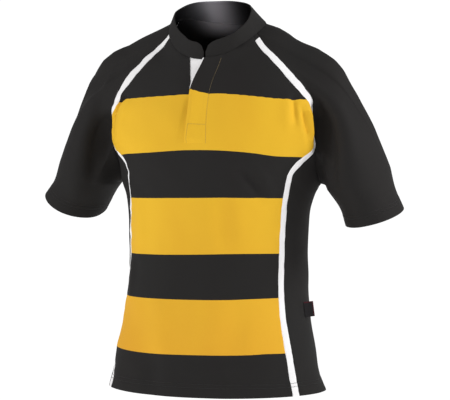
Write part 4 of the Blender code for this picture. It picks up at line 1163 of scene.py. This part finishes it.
def side_label():
    """A folded tab: its fold is at the free end, and it curls a little."""
    reach, thickness, height = LABEL_SIZE
    border = LABEL_BORDER / reach
    across = np.array([0, *LABEL_COLUMNS, 1 - border, 1 - border / 2, 1])
    border = LABEL_BORDER / height
    up = np.array([0, border, *LABEL_ROWS, 1 - border, 1])[:, None]
    curl = LABEL_CURL[0] * np.sin(across * math.pi) + LABEL_CURL[1] * across**2
    points = np.zeros((len(up), len(across), 3))
    points[..., 0] = reach * across
    points[..., 1] = curl + LABEL_CURL[2] * np.sin(LABEL_WAVE * up) * across
    points[..., 2] = height * (up - 0.5)
    wall = np.where(across < LABEL_THINS[0], 1, LABEL_THINS[1]) * thickness
    piece = shell("side_label", points, wall, [woven_label, label_edge])
    for face in piece.data.polygons:
        x, _, z = face.center
        face.material_index = int(x > reach - LABEL_BORDER or z > height / 2 - LABEL_BORDER)
    piece.location = dropped(body(LABEL_ANGLE, LABEL_HEIGHT)) + [LABEL_OUT, 0, 0]
    piece.rotation_euler = (0, LABEL_TILT, LABEL_TURN)
    return piece


pieces["side_label"] = side_label()

# ---- sewing ----

HEM_THREAD = {"length": 0.0028, "radius": 0.00045}
ROUND_THE_HEM = ("front", "tape_front_left", "side_panel_left", "tape_back_left", "back")
ROUND_THE_HEM += ("tape_back_right", "side_panel_right", "tape_front_right")


def on_top(name, row):
    """The row of a piece's outer face, and the way it faces."""
    facing = normals_of(made[name], name.startswith("sleeve"))[row]
    return made[name][row] + facing * hem_wall(from_hem[name])[row, :, None] / 2, facing


for number, line in enumerate(HEM_LINES, start=1):
    runs = zip(*(on_top(name, HEM_ROWS.index(line)) for name in ROUND_THE_HEM))
    round_hem = [np.concatenate(run) for run in runs]
    stitches(f"hem_stitches_{number}", *round_hem, black_thread, **HEM_THREAD, closed=True)
    for side in ("left", "right"):
        round_cuff = on_top(f"sleeve_{side}", -1 - HEM_ROWS.index(line))
        stitches(f"cuff_stitches_{side}_{number}", *round_cuff, black_thread, closed=True)

STITCHED_INSET, FREE_INSET = 0.0035, 0.004  # of the stitches from the flap's stitched side and its free one
BOX_TOP_LEVEL = -0.198  # of the line of stitches across the flap
BOX_POINTS = 24


def along_flap(shares, rows):
    """A line on top of the flap through these shares of its width in these rows, and the way it faces."""
    pairs = list(zip(shares, rows))
    facing = unit(np.array([sampled(share, FLAP_SHARES, flap_out[row]) for share, row in pairs]))
    path = np.array([sampled(share, FLAP_SHARES, flap[row]) for share, row in pairs])
    return path + facing * FLAP_KNIT / 2, facing


stitched_share = 1 - STITCHED_INSET / flap_width[:, 0]
free_share = FREE_INSET / flap_width[:, 0]
box_top = int(np.argmin(np.abs(LEVELS[ABOVE] - BOX_TOP_LEVEL)))
side_rows, free_rows = range(1, len(flap) - 4), range(1, box_top + 1)
box_shares = np.linspace(free_share[box_top], stitched_share[box_top], BOX_POINTS)
flap_seams = {"side": (stitched_share[side_rows], side_rows), "free": (free_share[free_rows], free_rows)}
flap_seams["box"] = (box_shares, [box_top] * len(box_shares))
for name, (shares, rows) in flap_seams.items():
    stitches(f"placket_stitches_{name}", *along_flap(shares, rows), olive_thread)

# ---- the frame ----

# The flat cut of what shows of each piece, without its allowances: the width and the length of the cut, its
# area, its slot, what it lies on and the sewing that goes with it.
Cut = namedtuple("Cut", "name width length area slot rests_on sewing")
CUTS = [
    Cut("front", 0.510, 0.735, 0.250, "hooped_cloth", [], "hem_stitches"),
    Cut("back", 0.465, 0.765, 0.267, "hooped_cloth", [], None),
    Cut("side_panel_left", 0.170, 0.480, 0.056, "black_cloth", [], None),
    Cut("side_panel_right", 0.170, 0.480, 0.054, "black_cloth", [], None),
    Cut("sleeve_left", 0.470, 0.455, 0.122, "black_cloth", [], "cuff_stitches_left"),
    Cut("sleeve_right", 0.470, 0.455, 0.124, "black_cloth", [], "cuff_stitches_right"),
    Cut("tape_front_left", 0.0140, 0.785, None, "white_cloth", [], None),
    Cut("tape_front_right", 0.0132, 0.785, None, "white_cloth", [], None),
    Cut("tape_back_left", 0.0134, 0.785, None, "white_cloth", [], None),
    Cut("tape_back_right", 0.0134, 0.785, None, "white_cloth", [], None),
    Cut("collar", 0.560, 0.060, 0.0215, "black_cloth", ["front", "back"], None),
    Cut("placket_flap", 0.050, 0.180, 0.0078, "hooped_cloth", ["front"], "placket_stitches"),
    Cut("flap_lining", 0.0115, 0.065, None, "white_cloth", ["placket_flap"], None),
    Cut("placket_facing", 0.062, 0.175, 0.0084, "white_cloth", ["front"], None),
    Cut("side_label", 0.018, 0.029, None, "woven_label", ["side_panel_left"], None),
]

for piece in [*pieces.values(), *THREAD.values()]:
    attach(piece, "root")
for cut in CUTS:
    piece = pieces[cut.name]
    if cut.name != "flap_lining":
        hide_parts(cut.name)

# ---- studio ----

VIEW_AZIMUTH = 23
VIEW_DISTANCE = 3.0
VIEW_HEIGHT = -0.349
LENS, SENSOR = 122.4, 36.0
SHIFT = 6 / 450
FLOOR_HEIGHT = -1.30
FLOOR_REACH = 8
FLOOR_GREY, FLOOR_GLOW, FLOOR_ROUGHNESS = 0.9, 0.65, 0.9
WHITE_LIGHT = (1, 1, 1, 1)
BACKDROP_SHOWS, BACKDROP_LIGHTS = 1.05, 0.44


def stand_at(name, data, azimuth, distance, height):
    """A camera or a lamp at a place round the shirt."""
    turn = math.radians(azimuth)
    stand = link(name, data)
    stand.location = (math.sin(turn) * distance, -math.cos(turn) * distance, height)
    return stand


camera = stand_at("camera", bpy.data.cameras.new("camera"), VIEW_AZIMUTH, VIEW_DISTANCE, VIEW_HEIGHT)
camera.data.lens, camera.data.sensor_width, camera.data.shift_x = LENS, SENSOR, SHIFT
camera.rotation_euler = (math.pi / 2, 0, math.radians(VIEW_AZIMUTH))
bpy.context.scene.camera = camera

floor_mesh = bpy.data.meshes.new("floor")
corners = [(x * FLOOR_REACH, y * FLOOR_REACH, FLOOR_HEIGHT) for x, y in ((-1, -1), (1, -1), (1, 1), (-1, 1))]
floor_mesh.from_pydata(corners, [], [(0, 1, 2, 3)])
floor_finish, _, floor_shader = new_finish("floor")
floor_shader.inputs["Base Color"].default_value = (FLOOR_GREY, FLOOR_GREY, FLOOR_GREY, 1)
floor_shader.inputs["Roughness"].default_value = FLOOR_ROUGHNESS
floor_shader.inputs["Emission Color"].default_value = WHITE_LIGHT
floor_shader.inputs["Emission Strength"].default_value = FLOOR_GLOW
floor_mesh.materials.append(floor_finish)
link("floor", floor_mesh)

# The backdrop is plain white, and it lights the shirt less than it shows.
world = bpy.data.worlds.new("studio")
world.use_nodes = True
tree = world.node_tree
background = tree.nodes["Background"]
background.inputs["Color"].default_value = WHITE_LIGHT
seen = put(tree, "ShaderNodeLightPath").outputs["Is Camera Ray"]
strength = sums(tree, "MULTIPLY_ADD", seen, BACKDROP_SHOWS - BACKDROP_LIGHTS, BACKDROP_LIGHTS)
tree.links.new(strength, background.inputs["Strength"])
bpy.context.scene.world = world

LAMPS_AIM_AT = np.array([0, 0, -0.35])
Lamp = namedtuple("Lamp", "name azimuth distance height size energy")
for lamp in (Lamp("key", -46, 2.1, 0.8, 0.8, 21), Lamp("fill", 88, 2.1, 0.7, 0.8, 32.5)):
    light = bpy.data.lights.new(lamp.name, "AREA")
    light.shape, light.size, light.energy = "DISK", lamp.size, lamp.energy
    stand = stand_at(lamp.name, light, lamp.azimuth, lamp.distance, lamp.height)
    way = LAMPS_AIM_AT - np.array(stand.location)
    stand.rotation_euler = (math.acos(-way[2] / np.linalg.norm(way)), 0, math.atan2(-way[0], way[1]))
bpy.context.scene.view_settings.view_transform = "Standard"
